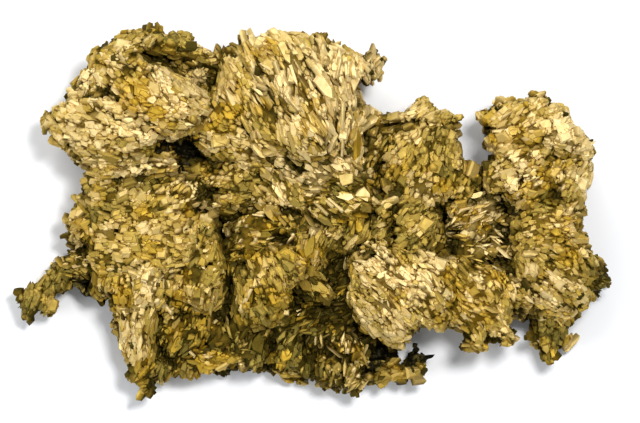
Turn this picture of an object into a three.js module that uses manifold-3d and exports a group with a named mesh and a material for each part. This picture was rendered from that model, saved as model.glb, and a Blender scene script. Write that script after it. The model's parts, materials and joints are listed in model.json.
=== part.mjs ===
// A natural specimen of crystallised gold, lying on its back: ridged leaves, blocky crystal masses and a few
// fine twigs, intergrown over four flat-backed sheets, with dark host mineral left in the deep recesses.
// Nothing on it moves. Each growth unit is one closed solid with its own name.
//
// Frame: millimetres, +X along the specimen's length, +Y across its broad face, +Z up out of that face.
// The origin is the centre of the bounding box on the plane that the specimen rests on.
//
// Each unit is given by its outline in plan, the point of its crest, the heights of its underside and its
// crest, and the slope of its face. Rings drawn from the outline towards the crest make its surface.

import * as THREE from "three";
import { mergeVertices } from "three/addons/utils/BufferGeometryUtils.js";
import Module from "manifold-3d";

// Driving dimensions, in millimetres
const SHEET_UNDERSIDE = 0; // the plane that the specimen rests on
const SHEET_TOP = 3.6; // the crest of the back sheets
const LEAF_UNDERSIDE = 2.4; // the leaves are bedded into the sheets below them
const SPREAD = 0.1; // how far each unit grows past its outline, into its neighbours, before it is trimmed
const GAP = 0.3; // the open seam that is kept between two neighbouring units
const LEAST_TRIM = 0.001; // a shared volume smaller than this, in cubic millimetres, needs no trimming

// A unit's section, as rings from its underside up: the ring's reach from crest (0) to outline (1), and the
// share of the unit's height at which it lies.
const LEAF_SECTION = [
  { reach: 0.86, rise: 0 },
  { reach: 1, rise: 0.35 },
  { reach: 0.99, rise: 0.88 },
  { reach: 0.74, rise: 0.96 },
];
const SHEET_SECTION = [
  { reach: 0.94, rise: 0 },
  { reach: 1, rise: 0.4 },
  { reach: 0.9, rise: 0.9 },
];

const FINISHES = {
  pale_gold: { color: 0xdcbf82, roughness: 0.32, metalness: 1, flatShading: true },
  rich_gold: { color: 0xcfa047, roughness: 0.3, metalness: 1, flatShading: true },
  olive_gold: { color: 0x8c7426, roughness: 0.42, metalness: 1, flatShading: true },
  dark_mineral: { color: 0x1d1a12, roughness: 0.6, metalness: 0.1, flatShading: true },
};

// The sheets at the back, which carry everything else.
const SHEETS = [
  {
    name: "back_sheet_west",
    crest: [-16.5, 2],
    outline: [
      [-26, 9], [-23.5, 13.5], [-20.5, 17], [-12.5, 17.5], [-10, 13.8], [-9.7, 6.5], [-9.6, -2.5],
      [-9.8, -9], [-11.5, -14.5], [-16, -15.8], [-19, -12.5], [-20.6, -8], [-22.8, -3.5], [-22, 2.5],
    ],
  },
  {
    name: "back_sheet_centre",
    crest: [-1, 6],
    outline: [
      [-9.2, 13.8], [-6.3, 16.6], [-0.8, 17.4], [4, 15.6], [4.2, 9], [7.5, 9.2], [13.6, 9.3],
      [14.2, 3], [12.3, -2.6], [7, -3.2], [0, -4.2], [-8.9, -3.8], [-9.3, 6],
    ],
  },
  {
    name: "back_sheet_south",
    crest: [2, -9],
    outline: [
      [-9.2, -4.5], [0, -4.9], [7, -3.9], [12.5, -3.3], [19.9, -5.2], [20.4, -10], [17.8, -12.4],
      [9.4, -11.6], [7.6, -14.2], [4.4, -16.6], [-2.6, -15.7], [-10.6, -15.6], [-9.1, -9.5],
    ],
  },
  {
    name: "back_sheet_east",
    crest: [21.5, -0.5],
    outline: [
      [14.8, 1.8], [16.2, 4.2], [18.1, 5.2], [18.3, 9.4], [22, 11.4], [25.3, 9.4], [27.2, 5],
      [26.2, -1], [27.8, -5], [27.9, -8], [25, -9], [24.6, -13], [22.6, -12.8], [21.2, -8],
      [20.6, -4.6], [13.2, -2.6],
    ],
  },
].map((sheet) => ({
  low: SHEET_UNDERSIDE,
  high: SHEET_TOP,
  finish: "olive_gold",
  section: SHEET_SECTION,
  ...sheet,
}));

// Dark host mineral in the recesses and under the overhangs.
const MINERAL = [
  {
    name: "mineral_under_wing",
    crest: [-12.6, 6.2],
    high: 8.2,
    outline: [[-16.4, 5], [-15, 6.8], [-12.6, 8.3], [-10.6, 7], [-9, 5.8], [-11, 5], [-13.4, 4.4]],
  },
  {
    name: "mineral_under_elbow",
    crest: [-23, -7.3],
    low: 0.6,
    high: 3.6,
    outline: [
      [-24.8, -6], [-23.5, -6], [-22.3, -6.5], [-21.4, -7.6], [-21.7, -8.8], [-22.9, -8.6],
      [-24.2, -7.8], [-24.9, -7],
    ],
  },
  {
    name: "sponge_at_centre_west",
    crest: [-8.6, -8.5],
    high: 6.4,
    finish: "olive_gold",
    outline: [
      [-10, -2.6], [-8.8, -3.4], [-7.2, -6.4], [-7, -9.6], [-6.8, -13.2], [-10.4, -13.1],
      [-10.6, -10.6], [-9.2, -7],
    ],
  },
  {
    name: "sponge_at_centre",
    crest: [2, -7.6],
    high: 6.6,
    finish: "olive_gold",
    outline: [
      [0.4, -5.2], [2.2, -3], [4.4, -4], [4.4, -8.4], [6.2, -11.4], [3.4, -12.2], [-3, -12],
      [-4.4, -10.6], [-2.6, -8],
    ],
  },
  {
    name: "mineral_at_east",
    crest: [19.6, -0.9],
    high: 7.6,
    outline: [
      [18.9, 1.4], [20.2, 1], [21, 0.2], [20.2, -1.6], [19.6, -2.5], [17.5, -2.1], [17.5, -1.5],
      [18.7, -0.7],
    ],
  },
  {
    name: "mineral_by_twig",
    crest: [7.1, -14.3],
    low: 1.4,
    high: 4.6,
    outline: [[5.7, -13.4], [7.4, -12.9], [8.2, -13.7], [8.1, -14.9], [6.5, -15.8], [5.6, -15]],
  },
  {
    name: "mineral_spur",
    crest: [10.3, -14.8],
    low: 1.6,
    high: 3.8,
    outline: [[9.9, -14.1], [10.5, -14], [10.6, -14.7], [11.3, -15.1], [10.6, -15.5], [10, -15.2]],
  },
].map((lump) => ({ low: LEAF_UNDERSIDE, finish: "dark_mineral", ...lump }));

// The leaves, crystal masses and twigs. The slope is how far the face rises, in millimetres per millimetre,
// towards +X and towards +Y.
const LEAVES = [
  // The crest at the north-west corner, curled over a hollow
  {
    name: "crest_rim_west",
    crest: [-19.7, 16.8],
    high: 11.8,
    slope: [0.1, -0.1],
    outline: [
      [-21.6, 15.9], [-21.4, 16.5], [-20.2, 17.5], [-19.3, 18.1], [-16.5, 18.2], [-16.3, 16.9],
      [-17.9, 16.3], [-18.9, 15.5], [-21.1, 15.1],
    ],
  },
  {
    name: "crest_rim_east",
    crest: [-13.5, 17.1],
    high: 11.4,
    slope: [-0.15, -0.1],
    outline: [
      [-16.3, 18.2], [-14.7, 17.9], [-12.4, 18.2], [-11.8, 16.9], [-9, 15.6], [-9.3, 14.8],
      [-11, 15.5], [-12.7, 16.1], [-15, 16.6], [-16.2, 16.9],
    ],
  },
  {
    name: "crest_hollow",
    crest: [-13, 14],
    high: 8.2,
    slope: [-0.1, 0.15],
    finish: "olive_gold",
    outline: [
      [-17.9, 16.2], [-16.3, 16.7], [-12.5, 15.9], [-9.4, 14.7], [-9.2, 12.8], [-10.2, 11.5],
      [-11, 11.3], [-12.5, 12], [-15.5, 14.2], [-18.4, 15.5],
    ],
  },
  {
    name: "crest_face",
    crest: [-16.5, 11.7],
    high: 12.4,
    slope: [-0.06, -0.14],
    outline: [
      [-21.1, 15], [-18.8, 15.4], [-15.5, 14], [-12.5, 11.8], [-11.1, 11.1], [-10.9, 10.2],
      [-12.7, 8.5], [-14.3, 8.2], [-16, 8.6], [-17.5, 10], [-20.5, 11.8], [-20.9, 13.4],
    ],
  },

  // The wing that points west
  {
    name: "west_shoulder",
    crest: [-22.7, 13],
    high: 9.8,
    slope: [0.2, -0.1],
    finish: "pale_gold",
    outline: [
      [-23.6, 14.1], [-22.9, 14.7], [-21.3, 15.1], [-21, 13.4], [-20.6, 11.8], [-21.7, 11.3],
      [-23.9, 11.7], [-24.2, 12.8],
    ],
  },
  {
    name: "west_wing",
    crest: [-20.5, 8.2],
    high: 12.2,
    slope: [0.32, 0.05],
    finish: "pale_gold",
    outline: [
      [-27.7, 9], [-27, 9.9], [-25.2, 11.2], [-21.7, 11.2], [-18.9, 9.8], [-16.3, 7.6], [-16.8, 6.2],
      [-18.7, 5.5], [-23.7, 6.1], [-26.1, 6.7], [-26.7, 7.8],
    ],
  },

  // The west body, down to the column
  {
    name: "west_neck",
    crest: [-19.7, 4.2],
    high: 10,
    slope: [0.08, 0.2],
    finish: "pale_gold",
    outline: [
      [-23.9, 5.6], [-20.5, 5.1], [-16.3, 5.1], [-14.3, 4.7], [-16.5, 3.8], [-18.7, 3.2], [-22.5, 3.4],
      [-22.9, 4.4],
    ],
  },
  {
    name: "west_body",
    crest: [-17, -0.4],
    high: 9.6,
    slope: [0.08, 0.03],
    outline: [
      [-22.7, 3.1], [-16.5, 3.4], [-11.7, 3.2], [-10.9, 2.2], [-12.9, -0.1], [-12.5, -1.8],
      [-12.7, -3.8], [-13.5, -5.6], [-15, -6.2], [-18, -5], [-21.1, -4.9], [-21.7, -2.8],
      [-21.5, -0.2], [-22.5, 1.2], [-23.1, 1.8],
    ],
  },
  {
    name: "west_bump",
    crest: [-23.3, -0.8],
    high: 7.4,
    slope: [0.2, 0.1],
    outline: [
      [-23.9, 1.2], [-22.5, 0.9], [-21.6, -0.2], [-21.8, -2.6], [-23.1, -2.6], [-25.2, -1.7],
      [-24.9, -0.2],
    ],
  },
  {
    name: "west_elbow",
    crest: [-23.5, -4.4],
    low: 1.4,
    high: 6,
    slope: [0.15, 0],
    outline: [
      [-25.4, -4.7], [-24.3, -2.9], [-21.7, -3], [-21.4, -4.7], [-21.9, -5.8], [-23.7, -5.9],
      [-24.9, -5.7],
    ],
  },
  {
    name: "west_arm",
    crest: [-27.2, -8.2],
    low: 1,
    high: 5,
    slope: [0.18, 0.1],
    outline: [
      [-30.2, -9.8], [-29.3, -8.8], [-29, -7.5], [-28.1, -6.7], [-25.8, -5.1], [-25.3, -6],
      [-25.5, -7.8], [-26, -9.1], [-25.4, -9.8], [-26.5, -10.5], [-29, -9.9],
    ],
  },
  {
    name: "column_head",
    crest: [-18.3, -7],
    high: 9,
    slope: [0.1, 0.1],
    outline: [
      [-21.1, -5.1], [-16.9, -5.1], [-15.5, -6.5], [-15.2, -8], [-16, -9], [-19.3, -9.1],
      [-20.3, -8.6], [-21.5, -7.3],
    ],
  },
  {
    name: "column_shaft",
    crest: [-18.1, -12.3],
    low: 1.4,
    high: 7.6,
    slope: [0, 0.22],
    finish: "pale_gold",
    outline: [
      [-19.5, -9.3], [-16.3, -9.2], [-16.7, -12.8], [-16.3, -13.8], [-16.8, -15], [-17.5, -15.8],
      [-18.2, -15.8], [-18.7, -15], [-19.5, -14.1], [-19.9, -10.3],
    ],
  },
  {
    name: "column_hollow",
    crest: [-14, -12.6],
    low: 1,
    high: 6,
    slope: [-0.1, 0.15],
    finish: "olive_gold",
    outline: [
      [-16.1, -9.4], [-14.9, -8.6], [-13.3, -8.4], [-11.5, -9.1], [-10.7, -10.6], [-10.8, -12.6],
      [-12.7, -14.8], [-13.1, -16.6], [-16.1, -16.8], [-17.5, -18], [-18.1, -17.6], [-16.9, -16.2],
      [-16.2, -13.4],
    ],
  },
  {
    name: "ring_crystals",
    crest: [-11.4, -4.6],
    high: 9.2,
    slope: [0, 0.1],
    outline: [
      [-12.5, -2], [-11.6, -1], [-10.6, -1.2], [-9.9, -2.6], [-10.2, -4.4], [-9.5, -5.6], [-9.3, -7],
      [-9.9, -8.6], [-10.7, -9.2], [-13.3, -8.2], [-14.7, -7.8], [-14.9, -6.4], [-13.3, -5.6],
      [-12.4, -4.2],
    ],
  },
  {
    name: "south_fan",
    crest: [-9.8, -14.8],
    low: 1,
    high: 5.8,
    slope: [0, 0.12],
    outline: [
      [-12.5, -14.8], [-11.3, -14], [-10.1, -13.3], [-8.3, -13.4], [-7.1, -14], [-7.5, -15.3],
      [-8.3, -16], [-10.1, -16.4], [-11.5, -16.3],
    ],
  },

  // The middle of the broad face
  {
    name: "west_field",
    crest: [-8.5, 2.8],
    high: 7.6,
    slope: [0.05, 0.15],
    outline: [
      [-12.2, 4.7], [-11, 5.2], [-7, 4.8], [-5.3, 4.4], [-4.7, 3.2], [-5.3, 1.6], [-7, 0.8], [-9, 0.4],
      [-10.7, 1.2], [-11.5, 2.7],
    ],
  },
  {
    name: "centre_saddle",
    crest: [-8.7, 8.4],
    high: 9.8,
    slope: [0, 0.12],
    outline: [
      [-12.5, 9], [-10, 10.8], [-8.7, 10.6], [-7.2, 9.8], [-6.5, 8], [-4.9, 6.2], [-5.3, 4.9],
      [-6.9, 5.1], [-8.9, 6], [-11.7, 8],
    ],
  },
  {
    name: "north_leaf_west",
    crest: [-6.5, 11.4],
    high: 11.6,
    slope: [0.1, -0.05],
    outline: [
      [-8.9, 15], [-8.5, 16], [-6.9, 16.3], [-5.9, 15], [-4.9, 12.8], [-2.7, 8.2], [-3.3, 6.6],
      [-4.7, 6.4], [-7.1, 10], [-8.5, 10.8], [-9.7, 11.4], [-9, 12.8],
    ],
  },
  {
    name: "north_leaf_middle",
    crest: [-2, 12.4],
    high: 13.4,
    slope: [0.04, -0.06],
    finish: "pale_gold",
    outline: [
      [-6.6, 17.2], [-4.5, 18.1], [-2, 18.3], [0, 17.9], [0.4, 16.9], [0.9, 15], [1.7, 12.2],
      [1.5, 10], [1.9, 7.4], [0.7, 6.2], [-1.5, 6], [-2.6, 6.9], [-3.3, 10.6], [-5.8, 15.4],
      [-6.8, 16.4],
    ],
  },
  {
    name: "north_leaf_east",
    crest: [3, 13.8],
    high: 12.2,
    slope: [-0.16, -0.02],
    finish: "pale_gold",
    outline: [
      [0.5, 16.8], [1.8, 17.1], [3.1, 16.4], [4.7, 16.1], [6.1, 15.2], [6.9, 14.1], [5.7, 13.9],
      [4.5, 13], [4.3, 11.7], [4.9, 10.4], [4.8, 9.3], [3.7, 8.8], [3.5, 6.2], [2.3, 6.4], [1.7, 10],
      [1.9, 12.2], [1.1, 15],
    ],
  },
  {
    name: "leaf_foot",
    crest: [0.5, 4.4],
    high: 11.2,
    slope: [0, 0.12],
    outline: [
      [-2.5, 6.4], [-1.3, 5.7], [2.1, 6.1], [3.5, 5.8], [4.1, 4.2], [3.3, 2.8], [1.7, 2.3],
      [-0.3, 2.9], [-1.9, 3.9], [-3.1, 5.2],
    ],
  },
  {
    name: "centre_blades",
    crest: [3.1, 0.9],
    high: 11,
    slope: [0, 0.1],
    finish: "pale_gold",
    outline: [
      [-0.3, 0.8], [1.5, 2], [3.5, 2.5], [5.1, 2.3], [6.3, 0.9], [4.7, 0.1], [1.1, -0.9], [-0.1, -0.2],
    ],
  },
  {
    name: "centre_north",
    crest: [-2.7, 1.9],
    high: 9.4,
    slope: [0.05, 0.1],
    outline: [
      [-4.7, 4.4], [-3.1, 5], [-1.8, 3.8], [-0.3, 2.7], [0.7, 1.6], [-0.5, 0.6], [-1.5, -0.8],
      [-3.1, -1], [-4.7, 0], [-5.3, 1.4],
    ],
  },
  {
    name: "centre_west",
    crest: [-5, -2],
    high: 7.8,
    slope: [0.05, 0.08],
    finish: "olive_gold",
    outline: [
      [-8.7, 0], [-5.3, 1.2], [-4.5, -0.2], [-3, -1.2], [-1.5, -1], [-1.2, -2.4], [-1.5, -4],
      [-5.3, -4.4], [-8.3, -4.4],
    ],
  },
  {
    name: "centre_ribs",
    crest: [1.4, -1.9],
    high: 8,
    slope: [0.05, 0.1],
    outline: [
      [-1, -2], [-0.6, -1], [1.3, -1.1], [4.7, -0.1], [6.3, -1], [6.3, -2.8], [3.7, -3.1], [2, -2.8],
      [0.7, -3.6], [0.2, -5.1], [-0.9, -4.6],
    ],
  },
  {
    name: "centre_cluster",
    crest: [-4.9, -7],
    high: 9,
    slope: [0, 0.05],
    outline: [
      [-6.9, -5], [-5.3, -4.6], [-1.5, -4.3], [-0.5, -5], [-0.9, -6.2], [-2.5, -7.4], [-3.1, -8.6],
      [-4.7, -10.6], [-6.5, -11], [-7.1, -9.4], [-6.6, -7.8], [-7.2, -6.4],
    ],
  },
  {
    name: "centre_wedge",
    crest: [-0.2, -7.6],
    high: 7.4,
    outline: [[-1.3, -6.3], [0, -6.5], [1.7, -7.8], [0.7, -8.7], [-0.9, -8.8], [-1.5, -7.6]],
  },
  {
    name: "centre_boss",
    crest: [9.9, -1.3],
    high: 10,
    slope: [0, 0.05],
    outline: [
      [6.9, 0.6], [9.5, 1.2], [11.1, 0.8], [12.2, -0.4], [12.3, -2.6], [11.1, -3.7], [9.3, -3.8],
      [6.6, -3.3], [6.5, -1.6],
    ],
  },

  // The saddle between the north leaf and the east lobe
  {
    name: "saddle_ridge",
    crest: [11, 9.8],
    high: 9.4,
    slope: [0.05, 0],
    outline: [
      [5.1, 9.1], [6.5, 9.8], [8.5, 10.2], [9.7, 10.8], [10.5, 11.6], [11.4, 11.7], [12.2, 10.6],
      [12.9, 10], [13.8, 10.5], [14.2, 9.7], [14, 8.4], [12.5, 7.9], [10.5, 8.4], [6.7, 8.8],
    ],
  },
  {
    name: "saddle_face",
    crest: [11.5, 5.2],
    high: 10.6,
    slope: [0, 0.08],
    outline: [
      [8.3, 7.2], [10.5, 8], [12.6, 7.6], [14, 8.1], [14.9, 7], [15.4, 5.6], [15.6, 4.4], [15.3, 3],
      [15, 1.3], [12.5, 1.2], [9.7, 1.7], [7.9, 2.6], [8, 5.8],
    ],
  },
  {
    name: "saddle_west",
    crest: [5.6, 5.6],
    high: 7.8,
    slope: [0, 0.08],
    finish: "olive_gold",
    outline: [
      [3.7, 8.6], [5.1, 8.8], [6.7, 8.4], [7.8, 7.2], [7.7, 3.8], [6.7, 2.3], [5.1, 2.8], [4.3, 4.4],
      [3.7, 6.2],
    ],
  },

  // The bright leaf at the south, with its two teeth, and the tufts beside it
  {
    name: "south_leaf_west",
    crest: [8.7, -8],
    high: 11.6,
    slope: [0.02, 0.14],
    finish: "pale_gold",
    outline: [
      [4.5, -5], [6.1, -3.7], [7.7, -4], [9.5, -4.4], [11.7, -5], [13.1, -6], [13.3, -8.4],
      [12.3, -10.8], [10, -12.2], [9.1, -13], [7.9, -12.6], [5.1, -10], [4.5, -8.4],
    ],
  },
  {
    name: "south_leaf_east",
    crest: [16.9, -9],
    high: 10.4,
    slope: [-0.05, 0.2],
    outline: [
      [13.3, -5.8], [14.2, -5.1], [15.3, -6.3], [18.5, -6.4], [20.5, -6.8], [21.2, -8.4],
      [19.9, -11.4], [20.6, -12.6], [20.3, -13.4], [19.3, -14], [18.4, -13.4], [17.6, -12.4],
      [17.1, -13.2], [16.3, -14.6], [15.5, -14], [15.1, -12.4], [12.5, -11],
    ],
  },
  {
    name: "south_plates",
    crest: [-3, -14.2],
    low: 1,
    high: 6.2,
    slope: [0, 0.1],
    finish: "olive_gold",
    outline: [
      [-6.7, -13.8], [-5.3, -12.8], [-3.5, -12.3], [-1.5, -12.2], [0.2, -12.8], [0.3, -14.4],
      [-0.3, -16.6], [-3.5, -16.1], [-4.6, -15.3], [-5.3, -16], [-6.5, -15.6],
    ],
  },
  {
    name: "south_tuft",
    crest: [2.9, -14.2],
    low: 1,
    high: 6.6,
    slope: [0, 0.2],
    outline: [
      [0.6, -12.8], [3, -12.4], [4.7, -12.8], [5.4, -14], [4.9, -16], [5.1, -17.2], [3.9, -18.2],
      [3.2, -18.1], [3.2, -16.6], [2.2, -16.6], [1.6, -17.9], [1.1, -17.5], [1.1, -15.7], [0.6, -14.4],
    ],
  },
  {
    name: "south_twig",
    crest: [8.2, -16.3],
    low: 1.2,
    high: 4.6,
    outline: [
      [5.7, -16.9], [6.9, -16.1], [8.1, -15.6], [9.7, -15.7], [10.9, -16.2], [10.5, -16.8],
      [8.3, -17.1], [6.9, -17.6], [5.9, -17.4],
    ],
  },

  // The crystals heaped between the saddle and the east lobe
  {
    name: "heap_north",
    crest: [16.5, -0.1],
    high: 8.8,
    slope: [0, 0.15],
    outline: [
      [13, 0.6], [15.3, 1.2], [17.1, 1.6], [18.7, 1.2], [18.5, -0.4], [17.3, -1.2], [16.9, -2.4],
      [15.5, -2.6], [12.7, -1.6],
    ],
  },
  {
    name: "heap_south",
    crest: [16.9, -4.2],
    high: 7.8,
    slope: [0, 0.1],
    finish: "olive_gold",
    outline: [
      [12.6, -2.6], [14.3, -2.4], [15.5, -3], [16.9, -2.9], [18.1, -1.9], [19.6, -2.7], [20.5, -4],
      [20.3, -6.2], [16.7, -6], [13.7, -4.8],
    ],
  },

  // The east lobe
  {
    name: "lobe_crown",
    crest: [21.7, 9.2],
    high: 12,
    slope: [0.05, -0.05],
    finish: "pale_gold",
    outline: [
      [16, 9.5], [17.1, 10.5], [19.1, 11.9], [19.8, 11.2], [21.5, 11.7], [22.2, 12.5], [23.8, 11],
      [24.8, 11.2], [25.8, 10.4], [26.1, 9.1], [27.1, 8.1], [27.6, 6.6], [26.1, 6.5], [23, 7.2],
      [21.5, 6.5], [19.5, 6.3], [17.5, 7.8], [16.7, 8.5],
    ],
  },
  {
    name: "lobe_side",
    crest: [25.6, 3.4],
    high: 10.4,
    slope: [-0.12, 0],
    outline: [
      [27.7, 6.3], [28, 4.7], [27.9, 3], [27.3, 1.4], [26.8, 0.4], [25.3, 0.1], [24.1, 0.8],
      [23.4, 2.4], [23.2, 4.4], [23.6, 6.2], [24.8, 6.7], [26.2, 6.2],
    ],
  },
  {
    name: "lobe_heart",
    crest: [20.6, 4.4],
    high: 10.8,
    slope: [0.06, 0.04],
    outline: [
      [17.5, 7.4], [19.3, 6], [21.5, 6.2], [23, 6.8], [22.9, 4.4], [23.1, 2.4], [22.3, 1], [21.1, 0.6],
      [19.9, 1.4], [18.2, 2.6], [17.6, 4.8], [17.5, 5.6],
    ],
  },

  // The east body, with its tip, its striped foot and the leg that hangs from it
  {
    name: "east_body_north",
    crest: [23.7, -1.8],
    high: 11,
    slope: [0, 0.1],
    outline: [
      [20.1, -2.6], [20.9, -0.6], [22.1, 0.4], [23.7, 0.5], [25.3, -0.1], [26.7, -0.3], [27, -1.6],
      [26.6, -2.6], [24.1, -3.8], [20.9, -4],
    ],
  },
  {
    name: "east_body_south",
    crest: [24.7, -5.4],
    high: 10.4,
    slope: [0, 0.1],
    outline: [
      [20.9, -4.2], [24.2, -4], [26.7, -2.8], [27.7, -3.5], [28.7, -4.6], [28.3, -5.3], [27.1, -5.8],
      [26.3, -7], [26.9, -8.4], [26.1, -9.1], [24.5, -8], [21.1, -6.2],
    ],
  },
  {
    name: "east_tip",
    crest: [28.2, -7.2],
    low: 1.4,
    high: 6.4,
    slope: [-0.2, 0],
    finish: "olive_gold",
    outline: [
      [28.4, -5.4], [29.2, -5.7], [30.1, -6.8], [29.1, -7.6], [28.1, -8.8], [26.7, -9.7], [26.3, -9.2],
      [27.1, -8.5], [26.6, -7.1], [27.3, -5.9],
    ],
  },
  {
    name: "east_foot",
    crest: [23.1, -8.6],
    high: 8.8,
    slope: [-0.1, 0.15],
    finish: "pale_gold",
    outline: [
      [20.7, -6.5], [23.1, -7.1], [24.5, -8.3], [25.9, -9.3], [25.1, -9.9], [23.5, -9.7], [21.9, -9.9],
      [21.4, -8.6],
    ],
  },
  {
    name: "east_leg",
    crest: [24, -12.2],
    low: 0.8,
    high: 6.6,
    slope: [0, 0.15],
    finish: "olive_gold",
    outline: [
      [21.9, -10.1], [23.5, -9.9], [25.2, -9.8], [26.1, -10.7], [25.7, -12.3], [25, -13.8],
      [24.1, -15], [23.2, -15.5], [22.6, -14.8], [22.2, -13.3],
    ],
  },
].map((leaf) => ({ low: LEAF_UNDERSIDE, finish: "rich_gold", ...leaf }));

// An outline whose edges have each moved outwards by a distance, with its corners kept sharp up to twice that.
function grown(outline, distance) {
  const clockwise = THREE.ShapeUtils.area(outline.map(([x, y]) => new THREE.Vector2(x, y))) < 0;
  const side = clockwise ? -1 : 1;
  const outward = (from, to) =>
    new THREE.Vector2(to[1] - from[1], from[0] - to[0]).normalize().multiplyScalar(side);
  return outline.map((corner, i) => {
    const before = outline[(i + outline.length - 1) % outline.length];
    const after = outline[(i + 1) % outline.length];
    const a = outward(before, corner);
    const b = outward(corner, after);
    const corners = a.clone().add(b).multiplyScalar(distance / Math.max(1 + a.dot(b), 0.5));
    return [corner[0] + corners.x, corner[1] + corners.y];
  });
}

// A unit's closed surface: rings drawn from its outline towards its crest, stacked up its height, with a fan to
// the crest on top and one on the underside. margin grows it on every side, to leave room around it.
function unitGeometry({ outline, crest, low, high, slope = [0, 0], section = LEAF_SECTION }, margin = 0) {
  const [crestX, crestY] = crest;
  const edge = grown(outline, SPREAD + margin);
  if (THREE.ShapeUtils.area(edge.map(([x, y]) => new THREE.Vector2(x, y))) < 0) edge.reverse();
  const bottom = low - margin;
  const height = high + margin - bottom;
  // The face leans over its full height, and the underside not at all, so that a sheet stays flat below.
  const lean = (x, y, rise) => rise * (slope[0] * (x - crestX) + slope[1] * (y - crestY));
  const points = [crestX, crestY, bottom];
  section.forEach(({ reach, rise }) =>
    edge.forEach(([outX, outY]) => {
      const x = crestX + reach * (outX - crestX);
      const y = crestY + reach * (outY - crestY);
      points.push(x, y, bottom + rise * height + lean(x, y, rise));
    }),
  );
  points.push(crestX, crestY, bottom + height);

  const sides = edge.length;
  const ring = (level, i) => 1 + level * sides + (i % sides);
  const top = 1 + section.length * sides;
  const faces = [];
  for (let i = 0; i < sides; i++) {
    faces.push(0, ring(0, i + 1), ring(0, i));
    for (let level = 0; level + 1 < section.length; level++) {
      faces.push(ring(level, i), ring(level, i + 1), ring(level + 1, i + 1));
      faces.push(ring(level, i), ring(level + 1, i + 1), ring(level + 1, i));
    }
    faces.push(ring(section.length - 1, i), ring(section.length - 1, i + 1), top);
  }
  return new THREE.BufferGeometry()
    .setAttribute("position", new THREE.Float32BufferAttribute(points, 3))
    .setIndex(faces);
}

const wasm = await Module();
wasm.setup();

function solidOf(geometry) {
  const merged = mergeVertices(geometry);
  return new wasm.Manifold(
    new wasm.Mesh({
      numProp: 3,
      vertProperties: merged.attributes.position.array,
      triVerts: new Uint32Array(merged.index.array),
    }),
  );
}

function geometryOf(solid) {
  const { vertProperties, triVerts } = solid.getMesh();
  return new THREE.BufferGeometry()
    .setAttribute("position", new THREE.BufferAttribute(vertProperties, 3))
    .setIndex(new THREE.BufferAttribute(triVerts, 1))
    .toNonIndexed();
}

// What is left of a unit once the room around each earlier unit is taken from it: its largest body.
function trimmed(unit, rooms) {
  const whole = solidOf(unitGeometry(unit));
  const left = rooms.reduce((solid, room) => {
    const shared = solid.intersect(room).volume();
    return shared > LEAST_TRIM ? solid.subtract(room) : solid;
  }, whole);
  return left.decompose().reduce((largest, body) => (body.volume() > largest.volume() ? body : largest));
}

// The sheets come first, so that they stay whole, then the units from the highest down.
const units = [...SHEETS, ...[...LEAVES, ...MINERAL].sort((a, b) => b.high - a.high)];
const rooms = [];
const specimen = new THREE.Group();
for (const unit of units) {
  const { finish, name } = unit;
  const geometry = geometryOf(trimmed(unit, rooms));
  geometry.computeVertexNormals();
  const mesh = new THREE.Mesh(geometry, new THREE.MeshStandardMaterial(FINISHES[finish]));
  mesh.name = name;
  specimen.add(mesh);
  rooms.push(solidOf(unitGeometry(unit, GAP)));
}

// The bounding box's centre goes to the origin, and its underside to the plane that the specimen rests on.
const box = new THREE.Box3().setFromObject(specimen);
const centre = box.getCenter(new THREE.Vector3());
specimen.children.forEach((mesh) => mesh.position.set(-centre.x, -centre.y, -box.min.z));

export default specimen;
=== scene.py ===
"""A specimen of crystallised gold, lying on a pale floor and seen from straight above.

Each CAD growth unit is replaced by one piece: a faceted core that follows the unit's solid, and the crystals
that crowd its open faces. Lengths are in millimetres until a mesh is made of them. Those of the floor, the
lights and the camera are in metres.
"""

import itertools
import json
import math
from collections import namedtuple

import bpy
import numpy as np
from mathutils import Matrix, Vector
from mathutils.bvhtree import BVHTree


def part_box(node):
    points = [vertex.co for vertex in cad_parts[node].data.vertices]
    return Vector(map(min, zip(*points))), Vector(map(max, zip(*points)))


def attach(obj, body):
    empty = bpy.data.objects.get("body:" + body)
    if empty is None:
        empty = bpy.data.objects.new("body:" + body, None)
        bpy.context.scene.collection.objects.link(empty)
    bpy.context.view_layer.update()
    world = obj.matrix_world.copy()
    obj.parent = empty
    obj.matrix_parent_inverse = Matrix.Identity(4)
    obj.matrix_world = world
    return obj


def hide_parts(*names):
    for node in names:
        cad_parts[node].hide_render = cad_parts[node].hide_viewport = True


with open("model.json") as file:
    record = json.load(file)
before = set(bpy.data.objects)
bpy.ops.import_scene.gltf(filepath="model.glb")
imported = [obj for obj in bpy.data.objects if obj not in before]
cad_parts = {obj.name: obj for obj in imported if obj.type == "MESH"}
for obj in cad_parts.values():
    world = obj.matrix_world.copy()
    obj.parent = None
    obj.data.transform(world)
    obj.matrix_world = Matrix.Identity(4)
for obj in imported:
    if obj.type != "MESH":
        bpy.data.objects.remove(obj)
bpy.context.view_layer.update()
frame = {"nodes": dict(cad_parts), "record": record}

SEED = 7
MM = 0.001
FLOOR_GAP = 0.02  # nothing reaches closer to the floor than this
SKY = 40  # a height above everything
UP, DOWN = Vector((0, 0, 1)), Vector((0, 0, -1))

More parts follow.
